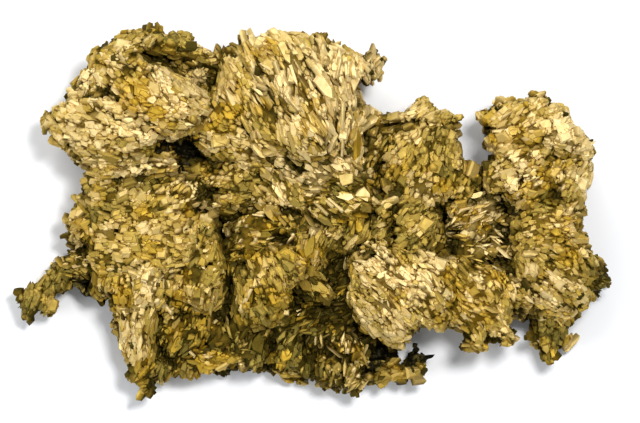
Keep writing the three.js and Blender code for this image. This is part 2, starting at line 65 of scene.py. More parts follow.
# The cores
CORE_GRAIN = 0.2  # the side of a core's faces
SEAM_REACH = 1.2  # a side that has a neighbour nearer than this is in a seam
SEAM_FILL = 0.6  # how far a unit's side grows into the seam
STEP_FILL = 0.3  # how far a side grows that stands over a lower unit
OUTLINE_REACH = 1.0  # a side with nothing below within this lies on the specimen's outline
OPEN_INSET = 1.3  # how far the outline draws in, to leave room for its crystals inside the CAD outline
FACET_SCALES = ((1.9, 0.9), (1.0, 0.7), (0.5, 0.5))  # the three sizes of facet, and how strong each is
RISE_LIMITS = (-1.1, 0.6)  # how far the facets may sink below the solid's surface and rise above it
CRACK_DEPTH = 0.5  # how deep the cracks between the grains are
CRACK_NOISE = ((1.7, SEED + 5, 1), (0.9, SEED + 6, 0.9))  # their sizes, seeds and strengths

# The smoothed height of the face
LAND_CELL = 0.25  # its spacing
LAND_CLOSE = 3  # how many cells of dip it closes
LAND_BLUR = 4  # over how many cells it is blurred
LAND_FILL = 0.65  # how much of a dip or a bump between units is levelled
LAND_LEVEL = 2.2  # down to what depth a dip is levelled so
LAND_END = 4.4  # from what depth on a side keeps its height
GAP_COVER = 0.97  # where the units cover this much of the plan around, a back sheet closes the gaps
GAP_DEPTH = 3.1  # up to this far below the smoothed height, before levelling

# The crystals
SHELTER_REACH = 2.5  # what stands nearer than this shades a point
CLEAR_START, CLEAR_REACH = 0.35, 0.8  # a crystal grows where nothing stands between these above the face
SWIRL = 35  # how many degrees the grain swirls to either side
SIZE_SPREAD, SIZE_LIMITS = 0.3, (-0.5, 0.45)  # how much crystals differ in size, as powers of e
SIDE_SPREAD = 0.14  # and in each of their sides
RIM_RODS, RIM_WIDTH, RIM_TONE = 13, 0.4, 0.85  # the rods around a ringed hollow

# The painted shade, dark in the recesses, as shares of the full painted shade
CRACK_SHADE = 0.3  # on the grains beside a crack
PIT_SHADE = 0.5  # in the pits
STANDOUT_SHADE = 0.15  # on the crystals that stand out
FOOT_SHADE = 0.5  # how much more a crystal's foot has than its crown
CORE_SHADE = 0.6  # on the core between the crystals
CORE_SHADE_TONE = 0.1  # how much lower the core's tone is than the crystals', painted shade between the crystals
SLENDER = ("rod", "blade")  # a share of these keeps less of the painted shade, even in a pit
CLEAN_SHARE, CLEAN_SHADE = 0.3, 0.35


# ---- the units ----

# Habits: how a unit's faces break up. cell is the size of its core's facets along, across and out of the
# grain, tilt their slope, step the height between neighbours, square whether they are blocks, spread how much
# the tone differs from crystal to crystal and cracks how wide the cracks between the grains are. crystals are
# the kinds that crowd it: (kind, number in a square millimetre, length, width, height, lean, how proud it
# stands).
Habit = namedtuple("Habit", "cell tilt step square spread cracks crystals")
HABITS = {
    "granular": Habit((1.2, 0.9, 0.9), 0.6, 0.5, False, 0.1, 0.1, [
        ("grain", 3.4, 0.66, 0.46, 0.44, 0.4, 0.7), ("nugget", 1.2, 0.6, 0.44, 0.46, 0.4, 0.72),
        ("rod", 1.1, 1, 0.36, 0.42, 0.4, 0.75), ("plate", 0.3, 1, 0.6, 0.3, 0.4, 0.75),
        ("chamfered", 0.25, 0.95, 0.7, 0.5, 0.35, 0.66),
    ]),
    "shingled": Habit((2.4, 0.8, 0.8), 0.55, 0.5, False, 0.1, 0.1, [
        ("rod", 2, 1.3, 0.4, 0.44, 0.3, 0.7), ("grain", 2, 0.75, 0.46, 0.42, 0.35, 0.7),
        ("nugget", 0.8, 0.62, 0.4, 0.44, 0.35, 0.7), ("blade", 0.6, 1.4, 0.34, 0.4, 0.3, 0.75),
        ("plate", 0.2, 1.6, 0.6, 0.4, 0.3, 0.7),
    ]),
    "packed": Habit((1.6, 0.9, 0.8), 0.5, 0.5, False, 0.1, 0.1, [
        ("grain", 3, 0.58, 0.42, 0.42, 0.35, 0.7), ("rod", 1.8, 0.9, 0.3, 0.44, 0.3, 0.75),
        ("nugget", 1.2, 0.55, 0.4, 0.44, 0.35, 0.72), ("blade", 0.4, 1.1, 0.32, 0.4, 0.3, 0.75),
        ("chamfered", 0.2, 0.8, 0.6, 0.45, 0.3, 0.7),
    ]),
    "blocky": Habit((1.4, 1.1, 0.9), 0.4, 0.6, True, 0.1, 0.1, [
        ("grain", 2.6, 0.66, 0.46, 0.46, 0.3, 0.7), ("rod", 1.5, 0.95, 0.34, 0.44, 0.3, 0.75),
        ("nugget", 0.8, 0.6, 0.42, 0.46, 0.3, 0.7), ("chamfered", 0.7, 0.7, 0.5, 0.46, 0.25, 0.7),
        ("chamfered", 0.4, 0.9, 0.7, 0.5, 0.3, 0.66),
    ]),
    "leafy": Habit((1.9, 1.2, 1), 0.6, 0.6, False, 0.18, 0.13, [
        ("plate", 0.5, 1.2, 0.6, 0.26, 0.45, 0.7), ("plate", 0.2, 1.4, 0.8, 0.34, 0.4, 0.66),
        ("rod", 1.5, 1.1, 0.34, 0.42, 0.45, 0.75), ("grain", 2.05, 0.62, 0.44, 0.42, 0.45, 0.7),
        ("nugget", 0.8, 0.56, 0.4, 0.42, 0.45, 0.7),
    ]),
    "spongy": Habit((1, 0.8, 0.8), 0.8, 1, False, 0.34, 0.24, [
        ("grain", 1.8, 0.54, 0.38, 0.4, 0.8, 0.68), ("rod", 2, 1.1, 0.24, 0.36, 0.8, 0.9),
        ("nugget", 0.7, 0.5, 0.36, 0.4, 0.8, 0.7), ("plate", 0.3, 0.9, 0.5, 0.2, 0.8, 0.8),
    ]),
    "mineral": Habit((0.9, 0.9, 0.8), 0.7, 0.8, False, 0.2, 0.1, [
        ("grain", 2.4, 0.5, 0.38, 0.38, 0.8, 0.65), ("nugget", 0.8, 0.45, 0.36, 0.36, 0.8, 0.65),
        ("rod", 0.6, 0.7, 0.22, 0.3, 0.9, 0.7),
    ]),
}

# The units of each habit: the bearing of a unit's grain in degrees anticlockwise from +X, and its tone from
# olive (0) through rich (0.5) to pale (1).
GRAINS = {
    "leafy": {
        "back_sheet_west": (80, 0.45), "back_sheet_centre": (-50, 0.6), "back_sheet_south": (-35, 0.55),
        "back_sheet_east": (60, 0.5), "column_hollow": (60, 0.27), "south_fan": (20, 0.42),
        "leaf_foot": (-40, 1), "centre_blades": (-35, 0.45), "centre_north": (-45, 0.55),
        "centre_wedge": (-30, 0.38), "saddle_west": (60, 0.7), "south_plates": (70, 0),
    },
    "mineral": {
        "mineral_under_wing": (0, 0.75), "mineral_under_elbow": (0, 0.55), "mineral_at_east": (0, 1),
        "mineral_by_twig": (0, 0.5), "mineral_spur": (60, 0.1),
    },
    "spongy": {
        "sponge_at_centre_west": (70, 0.4), "sponge_at_centre": (40, 0.05), "west_elbow": (-10, 0.5),
        "centre_west": (20, 0.47), "south_tuft": (80, 0.62), "heap_north": (30, 0.95),
        "heap_south": (-20, 0.74), "east_tip": (-30, 0.05),
    },
    "granular": {
        "crest_rim_west": (20, 0.36), "crest_rim_east": (-20, 0.35), "crest_hollow": (-30, 0.74),
        "crest_face": (-35, 0.71), "west_shoulder": (50, 1), "west_wing": (-20, 0.68),
        "west_arm": (50, 0.28), "west_field": (20, 0.44), "centre_saddle": (-30, 0.66),
        "centre_boss": (45, 0.38), "saddle_ridge": (20, 0.65), "saddle_face": (70, 0.5),
        "south_twig": (15, 0.55), "lobe_crown": (30, 0.7), "lobe_side": (70, 0.7), "lobe_heart": (50, 0.6),
        "east_body_north": (10, 0.58), "east_body_south": (-40, 0.53), "east_leg": (-70, 0.1),
    },
    "packed": {
        "west_neck": (8, 0.85), "south_leaf_west": (-38, 0.7), "south_leaf_east": (-42, 0.63),
        "east_foot": (-40, 0.45),
    },
    "blocky": {
        "west_body": (5, 0.53), "west_bump": (60, 0.75), "column_head": (80, 0.48),
        "ring_crystals": (75, 0.45), "centre_cluster": (-60, 0.34),
    },
    "shingled": {
        "column_shaft": (85, 0.65), "north_leaf_west": (-58, 0.66), "north_leaf_middle": (-62, 0.86),
        "north_leaf_east": (88, 0.9), "centre_ribs": (80, 0.42),
    },
}
slots = {part["node"]: part["material_slot"] for part in frame["record"]["subparts"]}
listed = {node: (HABITS[habit], *grain) for habit, grains in GRAINS.items() for node, grain in grains.items()}
UNITS = {node: listed[node] for node in slots}  # each unit's habit, bearing and tone, in the record's order


# ---- the marks of the broad face ----

# Each table holds the marks of its units. A mark's place is a share of its unit's box, from west to east and
# from south to north. Bearings are in degrees anticlockwise from +X, and lengths in millimetres.

# Creases: the places that its line runs through, half width, height (below 0 for a crack), how much paler it
# is than the unit: painted highlight along a raised crease, painted shade along a crack.
CREASES = {
    "crest_rim_west": [([(0.1, 0.45), (0.6, 0.35), (0.95, 0.5)], 0.5, 0.8, 0.2)],
    "crest_rim_east": [([(0, 0.6), (0.45, 0.5), (0.65, 0.35)], 0.5, 0.8, 0.2)],
    "crest_hollow": [([(0, 0.8), (0.1, 0.65), (0.3, 0.5), (0.45, 0.25), (0.65, 0.1)], 0.6, 0.9, 0.2)],
    "west_wing": [
        ([(0.5, 0.95), (0.75, 0.75), (0.85, 0.6), (0.95, 0.3)], 0.4, 0.7, 0.25),
        ([(0.1, 0.4), (0.45, 0.3)], 0.25, 0.4, 0.15), ([(0.15, 0.3), (0.55, 0.2)], 0.25, 0.4, 0.15),
        ([(0.25, 0.7), (0.6, 0.5)], 0.25, 0.4, 0.15),
    ],
    "crest_face": [([(0.7, 0.15), (0.8, 0.05), (0.65, -0.1), (0.45, -0.1)], 0.4, 0.8, 0.3)],
    "west_neck": [
        ([(0.4, 0.25), (0.75, 0.6), (1.1, 0.85)], 0.4, 0.6, 0.2),
        ([(0.4, 0.1), (0.75, 0.3), (1.25, 0.6)], 0.22, -0.9, -0.3),
    ],
    "north_leaf_west": [
        ([(0.5, 0.95), (0.7, 0.55)], 0.35, 0.7, 0.2),
        ([(0.1, 0.9), (0.05, 0.7), (-0.05, 0.55)], 0.45, -2.4, -0.5),
    ],
    "north_leaf_middle": [
        ([(0.35, 0.65), (0.5, 0.45), (0.55, 0.4)], 0.5, 0.8, 0.25),
        ([(0.45, 0.8), (0.7, 0.5), (0.85, 0.4)], 0.35, 0.6, 0.1),
        ([(0.75, 0.75), (0.9, 0.5), (1.05, 0.3)], 0.4, 0.7, 0.1),
        ([(0.25, 0.85), (0.55, 0.5)], 0.2, -0.7, -0.2), ([(0.6, 0.8), (0.85, 0.5)], 0.2, -0.7, -0.2),
    ],
    "north_leaf_east": [
        ([(0.35, 0.55), (0.35, 0.25), (0.35, 0)], 0.3, 0.9, 0.2),
        ([(0.55, 0.7), (0.55, 0.45), (0.65, 0.3)], 0.4, 0.6, 0.1),
        ([(0.1, 0.85), (0.3, 0.7), (0.55, 0.75)], 0.6, 0.6, 0.2),
    ],
    "centre_saddle": [([(0.45, 0.7), (0.7, 0.45), (1, 0.2)], 1, 0.6, 0.1)],
    "west_field": [([(0.1, -0.05), (0.35, 0.1), (0.55, 0.25)], 0.3, 0.8, 0.3)],
    "centre_cluster": [([(0.05, 0.25), (0.1, 0.5), (0.25, 0.55)], 0.35, 0.7, 0.35)],
    "centre_boss": [([(0.25, 1.05), (0.1, 0.7), (0.05, 0.2), (0.1, -0.1)], 0.35, 1.3, 0.3)],
    "centre_ribs": [
        ([(0.05, 0.85), (0, 0.5)], 0.3, 0.8, 0.15),
        ([(0.15, 0.75), (0.1, 0.4), (0.2, 0.1)], 0.3, 0.8, 0.2),
        ([(0.55, 0.9), (0.75, 0.8), (0.9, 0.55)], 0.3, 0.6, 0.1),
    ],
    "south_leaf_west": [
        ([(0.1, 0.65), (0.6, 0.25)], 0.28, 0.5, 0.1), ([(0.1, 0.4), (0.5, 0)], 0.28, 0.5, 0.1),
        ([(0.3, 0.7), (0.7, 0.35)], 0.28, 0.5, 0.1), ([(0.45, 0.75), (0.9, 0.45)], 0.28, 0.5, 0.1),
        ([(0.7, 0.75), (1, 0.5)], 0.28, 0.5, 0.1),
    ],
    "saddle_ridge": [([(0.05, 0.45), (0.25, 0.55), (0.45, 0.65), (0.6, 0.9)], 0.35, 0.6, 0.2)],
    "lobe_crown": [([(0.65, 0.65), (0.75, 0.4), (0.8, 0.15)], 0.9, 0.6, 0.3)],
    "lobe_heart": [
        ([(0.4, 0.75), (0.6, 0.55), (0.8, 0.35), (0.7, 0.1)], 0.45, 0.7, 0.25),
        ([(0.8, 0.55), (1.05, 0.85), (0.95, 1.05)], 0.35, 0.6, 0.25),
        ([(0.3, 0.5), (0.5, 0.2)], 0.5, 0.7, 0.35), ([(0.4, 0.55), (0.6, 0.2)], 0.3, -1.5, -0.5),
    ],
    "lobe_side": [([(0.65, 1.25), (0.85, 0.8), (0.85, 0.4)], 0.5, 0.5, 0.2)],
    "heap_north": [([(0.45, 0.85), (0.95, 0.75)], 0.4, 0.6, 0.2)],
    "east_body_north": [([(0.65, 0.45), (0.9, -0.1)], 0.25, -1.2, -0.4)],
    "east_body_south": [
        ([(0.65, 1.1), (0.85, 0.75)], 0.4, 0.6, 0.15), ([(0.05, 0.85), (0.1, 0.55)], 0.45, 0.6, 0.3),
        ([(0.3, 0.5), (0.8, 0.05)], 0.25, 0.7, 0.25), ([(0.15, 0.3), (0.6, -0.1)], 0.25, 0.7, 0.2),
        ([(0.3, 0.4), (0.7, 0)], 0.2, -1.2, -0.4),
    ],
    "column_head": [([(0.55, 0.95), (0.8, 0.6), (0.8, 0.15)], 0.8, 0.6, 0.3)],
    "column_shaft": [
        ([(0.25, 1.05), (0.35, 0.6)], 0.5, 0.6, 0.15),
        ([(0.65, 1.05), (0.7, 0.35), (0.5, 0.05)], 0.5, 0.7, 0.2),
    ],
    "column_hollow": [([(0.35, 0.95), (0.55, 0.8)], 0.25, 0.8, 0.4)],
    "ring_crystals": [
        ([(0.35, 0.3), (0.6, 0.05)], 0.4, 0.6, 0.2), ([(0.5, 0.95), (0.45, 0.65)], 0.3, 0.6, 0.25),
    ],
    "south_fan": [
        ([(0.3, 0.6), (0.45, 0.35), (0.7, 0.35), (0.85, 0.6)], 0.3, 0.5, 0.2),
        ([(0.35, 0.75), (0.5, 0.6), (0.75, 0.65)], 0.25, 0.4, 0.2),
    ],
}

# Pits and hollows: middle, half length, half width, bearing, depth.
PITS = {
    "crest_face": [((0.1, 0.55), 0.6, 0.6, 0, 1.5)],
    "crest_hollow": [((0.35, 0.7), 2.2, 0.7, -20, 1.2)],
    "mineral_under_wing": [((0.5, 0.45), 1.8, 0.9, -35, 2.4), ((0.8, 0.15), 1.5, 0.5, -35, 1.6)],
    "west_field": [((0.25, 0.35), 1.2, 0.6, 10, 1.6)],
    "centre_west": [((0.1, 0.7), 1.2, 0.6, 30, 1.6), ((0.75, 0.3), 0.9, 0.6, -20, 1.3)],
    "ring_crystals": [((1, 0.8), 0.7, 1.4, 0, 2)],
    "centre_north": [((0, 0.25), 0.8, 0.4, -10, 1.6), ((0.5, 0.2), 1.4, 0.55, 5, 1.2)],
    "centre_cluster": [((0.05, 0.85), 0.7, 0.4, 0, 1.6), ((0.8, 0.3), 0.8, 1.3, 0, 2)],
    "sponge_at_centre_west": [((0.5, 0.5), 1, 1.5, 0, 1.6), ((0.35, 0.3), 1.1, 1.1, 0, 1.4)],
    "sponge_at_centre": [
        ((0.55, 0.25), 2.2, 1.2, 0, 2.2), ((0.65, 0.75), 1.5, 1.1, 0, 1.8),
        ((0.55, 0.55), 0.7, 0.5, 0, 1.6), ((0.8, 0.05), 0.9, 1.2, 0, 2.2),
    ],
    "mineral_by_twig": [((0.4, 0.65), 1.7, 0.8, 0, 2)],
    "centre_ribs": [((0.9, 0.95), 0.9, 0.6, 0, 2), ((0.9, 0.2), 0.5, 0.6, 0, 1.8)],
    "centre_boss": [((0.25, 0.35), 0.35, 1.4, 0, 1.8)],
    "saddle_ridge": [((0.3, 0.2), 1.6, 0.45, 5, 2.2), ((0.5, 0.25), 0.7, 0.35, 10, 1.6)],
    "saddle_west": [((0.65, 0.35), 0.5, 0.8, 0, 1.2), ((0.3, 0.75), 0.6, 0.8, 0, 1)],
    "heap_north": [
        ((0.05, 0.5), 0.6, 1.2, 0, 2.2), ((0.25, 0.15), 0.6, 0.6, 0, 1.6), ((0.2, 0.9), 1, 0.35, 0, 1.6),
    ],
    "lobe_heart": [((0.2, 0.2), 0.45, 0.45, 0, 1.6), ((-0.05, 0.65), 0.5, 0.7, 0, 2.2)],
    "mineral_at_east": [((0.4, 0.75), 0.6, 0.8, 0, 2)],
    "heap_south": [
        ((0.7, 0.3), 1.1, 0.5, 0, 1.6), ((0.8, 0.9), 0.5, 0.8, 0, 1.6), ((0.35, 0.2), 0.6, 0.5, 0, 1.2),
        ((0.1, 0.6), 0.6, 0.9, 0, 1.2),
    ],
    "lobe_side": [((0.15, 0.25), 0.8, 0.9, 0, 1.2)],
    "east_tip": [((0.6, 0.8), 0.9, 0.8, -40, 0.8)],
    "mineral_under_elbow": [((0.75, 0.55), 1, 0.8, 0, 1.6)],
    "west_elbow": [((0.65, 0.8), 1.2, 0.9, 0, 1.3)],
    "column_hollow": [
        ((0.35, 0.45), 1, 0.8, 0, 1.8), ((0.55, 0.35), 1.5, 0.6, 0, 1.4), ((0.35, 0.8), 0.4, 0.9, 0, 1.5),
        ((0.65, 0.8), 0.7, 0.5, 0, 1.2),
    ],
    "south_plates": [
        ((0.35, 0.7), 0.9, 0.9, 0, 1.6), ((0.8, 0.85), 0.5, 0.8, 0, 1.6), ((0.95, 0.4), 0.7, 1.2, 0, 1.4),
    ],
    "south_tuft": [((0.15, 0.75), 0.9, 0.7, 0, 1.4), ((0.55, 0.6), 0.5, 1, 80, 1.2)],
    "centre_wedge": [((0.15, 0.25), 0.9, 0.5, -30, 1.2)],
    "west_body": [((0.3, 0.45), 0.3, 0.3, 0, 1)],
    "north_leaf_middle": [((0.55, 0.3), 0.8, 0.5, -30, 1.2)],
    "north_leaf_west": [((0.8, 0.55), 0.7, 0.4, -50, 0.9)],
    "leaf_foot": [((0.2, 0.6), 1, 0.7, -30, 1.3)],
}

# Bosses: middle, half length, half width, bearing, height.
BOSSES = {
    "crest_face": [((0.6, 0.15), 1.3, 1, 0, 0.7)],
    "centre_boss": [((0.55, 0.5), 1.9, 2.2, 0, 0.9)],
    "saddle_face": [((0.2, 0.45), 1, 0.9, 0, 0.9)],
    "west_bump": [((0.3, 0.45), 0.9, 1.3, 0, 0.6)],
    "south_plates": [((0.05, 0.4), 0.9, 0.8, 0, 0.7), ((0.6, 0.55), 1.1, 1.5, 0, 0.6)],
    "saddle_ridge": [((0.7, 0.5), 1, 0.9, 0, 0.5)],
}

# Ringed hollows: middle, half length, half width, height of the rim.
RINGS = {
    "ring_crystals": [((0.7, 0.8), 0.9, 1.3, 0.5), ((0.8, 0.5), 0.8, 0.7, 0.5)],
    "west_body": [((0.45, 0.85), 1.2, 0.9, 0.3), ((0.8, 0.85), 1.3, 1, 0.35)],
    "lobe_side": [((0.3, 0.65), 1, 0.8, 0.35)],
}

# Tints: middle, half length, half width, bearing, how much paler, how much more ochre.
TINTS = {
    "centre_saddle": [((0.45, 0.85), 1.5, 0.8, -10, 0, 0.9)],
    "crest_face": [((0.45, 0.4), 2.4, 1.6, -30, 0, 0.6), ((0.6, 0.15), 1.3, 1, 0, 0.1, 0.6)],
    "crest_hollow": [((0.35, 0.7), 2.4, 0.9, -20, -0.2, 0.1)],
    "north_leaf_middle": [((0.2, 0.8), 1.8, 1.1, 0, -0.2, 0.6)],
    "west_body": [((0.6, 0.25), 1.2, 1.6, 0, 0, 0.5), ((0.5, 0.9), 3.6, 0.9, 0, -0.15, 0)],
    "heap_north": [((0.65, 0.3), 1.6, 1, 0, -0.1, 0.6)],
    "column_shaft": [((0.65, 0.5), 0.7, 1.4, 0, 0, 0.4)],
    "column_hollow": [((0.55, 0.6), 1.2, 1.2, 0, 0.2, 0.5), ((0.9, 0.65), 4, 2.8, 0, -0.1, 0)],
    "column_head": [((0.8, 0.35), 1.2, 1, 0, 0.2, -0.3)],
    "centre_ribs": [((0.6, 0.7), 1.6, 0.8, -20, 0, 0.5)],
    "centre_west": [((0.55, 0.65), 2, 0.8, 10, -0.1, 0.6)],
    "west_bump": [((0.9, 0.6), 0.8, 1.2, 0, -0.4, 0)],
    "west_wing": [((1.05, 0.15), 1.3, 0.8, 0, -0.4, 0), ((0.35, 0.45), 3, 1.5, -10, 0.1, -0.3)],
    "west_arm": [((0.45, 0.25), 1.6, 0.8, 40, -0.2, 0.2)],
    "saddle_face": [((0.75, 0.3), 2.2, 1.2, 0, -0.25, 0.2)],
    "saddle_west": [((0.45, 0.4), 1.5, 2.5, 0, -0.1, 0)],
    "south_leaf_west": [((0.45, 0.7), 4, 2, -10, 0.1, -0.1)],
    "lobe_side": [((0.25, 0.85), 1.2, 1.1, 0, -0.4, 0.4), ((-0.05, 0.15), 2, 1.1, 0, -0.35, 0.1)],
    "east_tip": [((0.55, 0.7), 1.4, 1.2, -40, -0.5, 0)],
}

# Crystals that stand out: shape, middle, length, width, bearing, tips about their own axes in degrees, how
# far they stand above the face, tone.
STANDOUTS = {
    "centre_blades": [
        ("blade", (0.37, 0.47), 2.2, 0.45, -40, (10, 0), 0.3, 1),
        ("blade", (0.25, 0.56), 1.8, 0.35, -42, (12, 0), 0.24, 0.9),
        ("blade", (0.16, 0.39), 1.7, 0.35, -45, (10, 0), 0.24, 0.9),
        ("blade", (0.06, 0.25), 1.5, 0.35, -48, (10, 0), 0.18, 0.8),
        ("plate", (0.5, 0.7), 2.5, 0.8, -12, (-8, 0), 0.3, 1),
        ("plate", (0.57, 0.4), 2.2, 0.9, 14, (8, 0), 0.24, 0.8),
        ("plate", (0.78, 0.75), 1.9, 1.2, -40, (-6, 6), 0.24, 0.9),
    ],
    "leaf_foot": [
        ("plate", (0.85, 0.25), 1.8, 1.4, 30, (0, 0), 0.18, 0.7),
        ("plate", (0.6, 0.7), 1.3, 0.7, -45, (0, 8), 0.18, 0.9),
    ],
    "north_leaf_middle": [
        ("plate", (0.4, 0.56), 1.3, 0.6, -70, (-8, 0), 0.18, 1),
        ("plate", (0.48, 0.42), 1.1, 0.6, -60, (-8, 4), 0.18, 1),
        ("plate", (0.76, 0.18), 1, 0.7, -40, (-8, 6), 0.18, 1),
        ("blade", (0.83, 0.11), 1.4, 0.4, -55, (0, 0), 0.18, 0.9),
    ],
    "north_leaf_west": [
        ("blade", (0.54, 0.76), 1.9, 0.4, -65, (-6, 0), 0.18, 0.9),
        ("blade", (0.61, 0.61), 1.6, 0.4, -62, (-6, 0), 0.18, 0.9),
    ],
    "north_leaf_east": [
        ("plate", (0.15, 0.7), 1.3, 0.7, -60, (-6, 4), 0.18, 1),
        ("plate", (0.37, 0.8), 1.2, 0.7, 40, (-4, 6), 0.18, 1),
        ("blade", (0.35, 0.32), 2.6, 0.4, 88, (-6, 0), 0.18, 0.9),
        ("blade", (0.35, 0.1), 1.9, 0.35, 90, (-6, 0), 0.18, 0.85),
    ],
    "column_hollow": [
        ("blade", (0.45, 0.9), 1.8, 0.35, -50, (-8, 0), 0.24, 1),
        ("blade", (0.8, 0.4), 0.9, 0.35, -45, (0, 0), 0.24, 1),
    ],
    "centre_cluster": [
        ("blade", (0.1, 0.4), 1.8, 0.45, 65, (-8, 0), 0.24, 1),
        ("plate", (0.85, 0.15), 1.3, 0.6, 12, (-6, 0), 0.3, 0.9),
        ("chamfered", (0.65, 0.15), 0.6, 0.6, 0, (0, 0), 0.24, 0.8),
    ],
    "centre_west": [("octahedron", (0.4, 0.3), 0.4, 0.5, 0, (0, 0), 0.24, 1)],
    "west_body": [
        ("hopper", (0.61, 0.37), 0.8, 0.8, 4, (0, 0), 0.06, 0.9),
        ("hopper", (0.44, 0.84), 1.7, 1.3, 4, (0, 0), 0, 0.55),
        ("hopper", (0.81, 0.83), 1.8, 1.3, 2, (0, 0), 0, 0.5),
        ("hopper", (0.62, 0.6), 1.3, 1, 6, (0, 0), 0, 0.5),
        ("hopper", (0.3, 0.6), 1.1, 0.9, 0, (0, 0), 0, 0.6),
    ],
    "south_leaf_west": [
        ("plate", (0.27, 0.73), 1.6, 0.6, 25, (-6, 0), 0.18, 1),
        ("plate", (0.5, 0.43), 1.2, 0.6, -40, (-6, 6), 0.18, 1),
        ("plate", (0.68, 0.27), 0.9, 0.5, -40, (-6, 6), 0.18, 1),
        ("octahedron", (0.85, 0.9), 0.6, 0.4, 0, (0, 0), 0.24, 1),
    ],
    "lobe_crown": [("plate", (0.73, 0.35), 2.6, 1.1, -65, (-4, 4), 0.18, 1)],
    "lobe_heart": [("plate", (0.38, 0.35), 2, 1, -52, (-6, 4), 0.24, 0.9)],
    "heap_north": [
        ("plate", (0.58, 0.98), 1.8, 0.8, 12, (-6, 0), 0.24, 0.9),
        ("plate", (0.58, 0.73), 3.4, 0.6, 10, (-14, 0), 0.18, 0.6),
    ],
    "mineral_under_wing": [("blade", (0.73, 0.34), 0.7, 0.25, -30, (0, 0), 0.48, 1)],
    "centre_wedge": [("plate", (0.6, 0.5), 2.4, 1.1, -32, (6, 0), 0.24, 0.5)],
    "column_head": [
        ("chamfered", (0.75, 0.35), 1.1, 0.9, 10, (-6, 0), 0.12, 0.95),
        ("chamfered", (0.6, 0.5), 1, 0.8, 20, (-6, 0), 0.12, 0.95),
    ],
    "ring_crystals": [("blade", (0.1, 0.4), 1.1, 0.4, 20, (-8, 0), 0.18, 1)],
    "east_body_south": [("blade", (0.05, 0.6), 1.7, 0.5, 88, (-6, 0), 0.18, 0.95)],
    "saddle_ridge": [("plate", (0.7, 0.6), 1.2, 1, -50, (-4, 4), 0.18, 0.9)],
    "centre_boss": [("octahedron", (0.9, 0.9), 0.5, 0.5, 0, (0, 0), 0.24, 1)],
    "heap_south": [("octahedron", (0.8, 1), 0.5, 0.5, 0, (0, 0), 0.24, 1)],
}


# ---- numbers and noise ----

def hashed(cells, seed, count):
    """count repeatable numbers from 0 to 1 for each integer cell."""
    parts = cells.astype(np.uint64)
    mixed = parts[:, 0] * np.uint64(73856093)
    mixed ^= parts[:, 1] * np.uint64(19349663)
    mixed ^= parts[:, 2] * np.uint64(83492791)
    mixed ^= np.uint64(seed * 2654435761 % 2**32)
    numbers = []
    for _ in range(count):
        mixed = mixed * np.uint64(6364136223846793005) + np.uint64(1442695040888963407)
        numbers.append(((mixed >> np.uint64(33)) & np.uint64(0xFFFFFF)) / float(0x1000000))
    return np.stack(numbers, axis=1)


def lattice(points, axes, cell, seed, square):
    """Each point's way from the middle of its crystal cell, in millimetres, and five numbers of that cell.
    The cells are blocks when square, and otherwise meet at any angle."""
    local = points @ axes / np.array(cell)
    base = np.floor(local).astype(np.int64)
    nearest = np.full(len(points), np.inf)
    away = np.zeros_like(points)
    owner = base.copy()
    for offset in itertools.product((-1, 0, 1), repeat=3):
        cells = base + np.array(offset)
        way = local - cells - hashed(cells, seed, 3)
        distance = np.abs(way).max(1) if square else (way**2).sum(1)
        closer = distance < nearest
        nearest[closer] = distance[closer]
        away[closer] = way[closer]
        owner[closer] = cells[closer]
    return away * np.array(cell), hashed(owner, seed + 1, 5)


def smooth_noise(points, size, seed):
    """A repeatable soft noise from -1 to 1 with features of that size."""
    local = points / size
    base = np.floor(local).astype(np.int64)
    part = local - base
    part = part * part * (3 - 2 * part)
    total = np.zeros(len(points))
    for corner in itertools.product((0, 1), repeat=3):
        corner = np.array(corner)
        share = np.where(corner, part, 1 - part).prod(1)
        total += share * hashed(base + corner, seed, 1)[:, 0]
    return total * 2 - 1


def unit_vectors(vectors):
    return vectors / np.maximum(np.linalg.norm(vectors, axis=-1, keepdims=True), 1e-9)


def grain_axes(bearing):
    """A unit's crystal axes as columns: along the grain, across it, and out of the face."""
    turn = math.radians(bearing)
    return np.array([[math.cos(turn), -math.sin(turn), 0], [math.sin(turn), math.cos(turn), 0], [0, 0, 1]])


# ---- crystal shapes ----

def rings_solid(rings):
    """A closed solid from rings of points, one above the next, as vertices, triangles, how deep each vertex
    sits, from 0 at the crown to 1 at the foot, and the number of points in a ring."""
    sides = len(rings[0])
    vertices = np.array([point for ring in rings for point in ring], float)
    depth = (1 - vertices[:, 2]) / 2
    faces = []
    for level in range(len(rings) - 1):
        low, high = level * sides, (level + 1) * sides
        for i in range(sides):
            j = (i + 1) % sides
            faces += [(low + i, low + j, high + j), (low + i, high + j, high + i)]
    top = (len(rings) - 1) * sides
    for i in range(1, sides - 1):
        faces += [(0, i + 1, i), (top, top + i, top + i + 1)]
    return vertices, np.array(faces), depth, sides


def rectangle(length, width, height):
    return [(x * length, y * width, height) for x, y in ((1, 1), (-1, 1), (-1, -1), (1, -1))]


def polygon(corners, height, reach):
    return [(reach * x, reach * y, height) for x, y in corners]


# Outlines of crystals in plan, from -1 to 1 each way
LEAF_OUTLINE = [(1.0, 0.1), (0.35, 0.85), (-0.5, 1.0), (-1.0, 0.2), (-0.6, -0.9), (0.5, -0.8)]
GRAIN_OUTLINE = [(1.0, 0.3), (0.1, 1.0), (-0.95, 0.6), (-0.7, -0.8), (0.5, -0.9)]
ROD_OUTLINE = [(1.0, 0.1), (0.3, 1.0), (-0.8, 0.8), (-1.0, -0.4), (0.2, -1.0)]

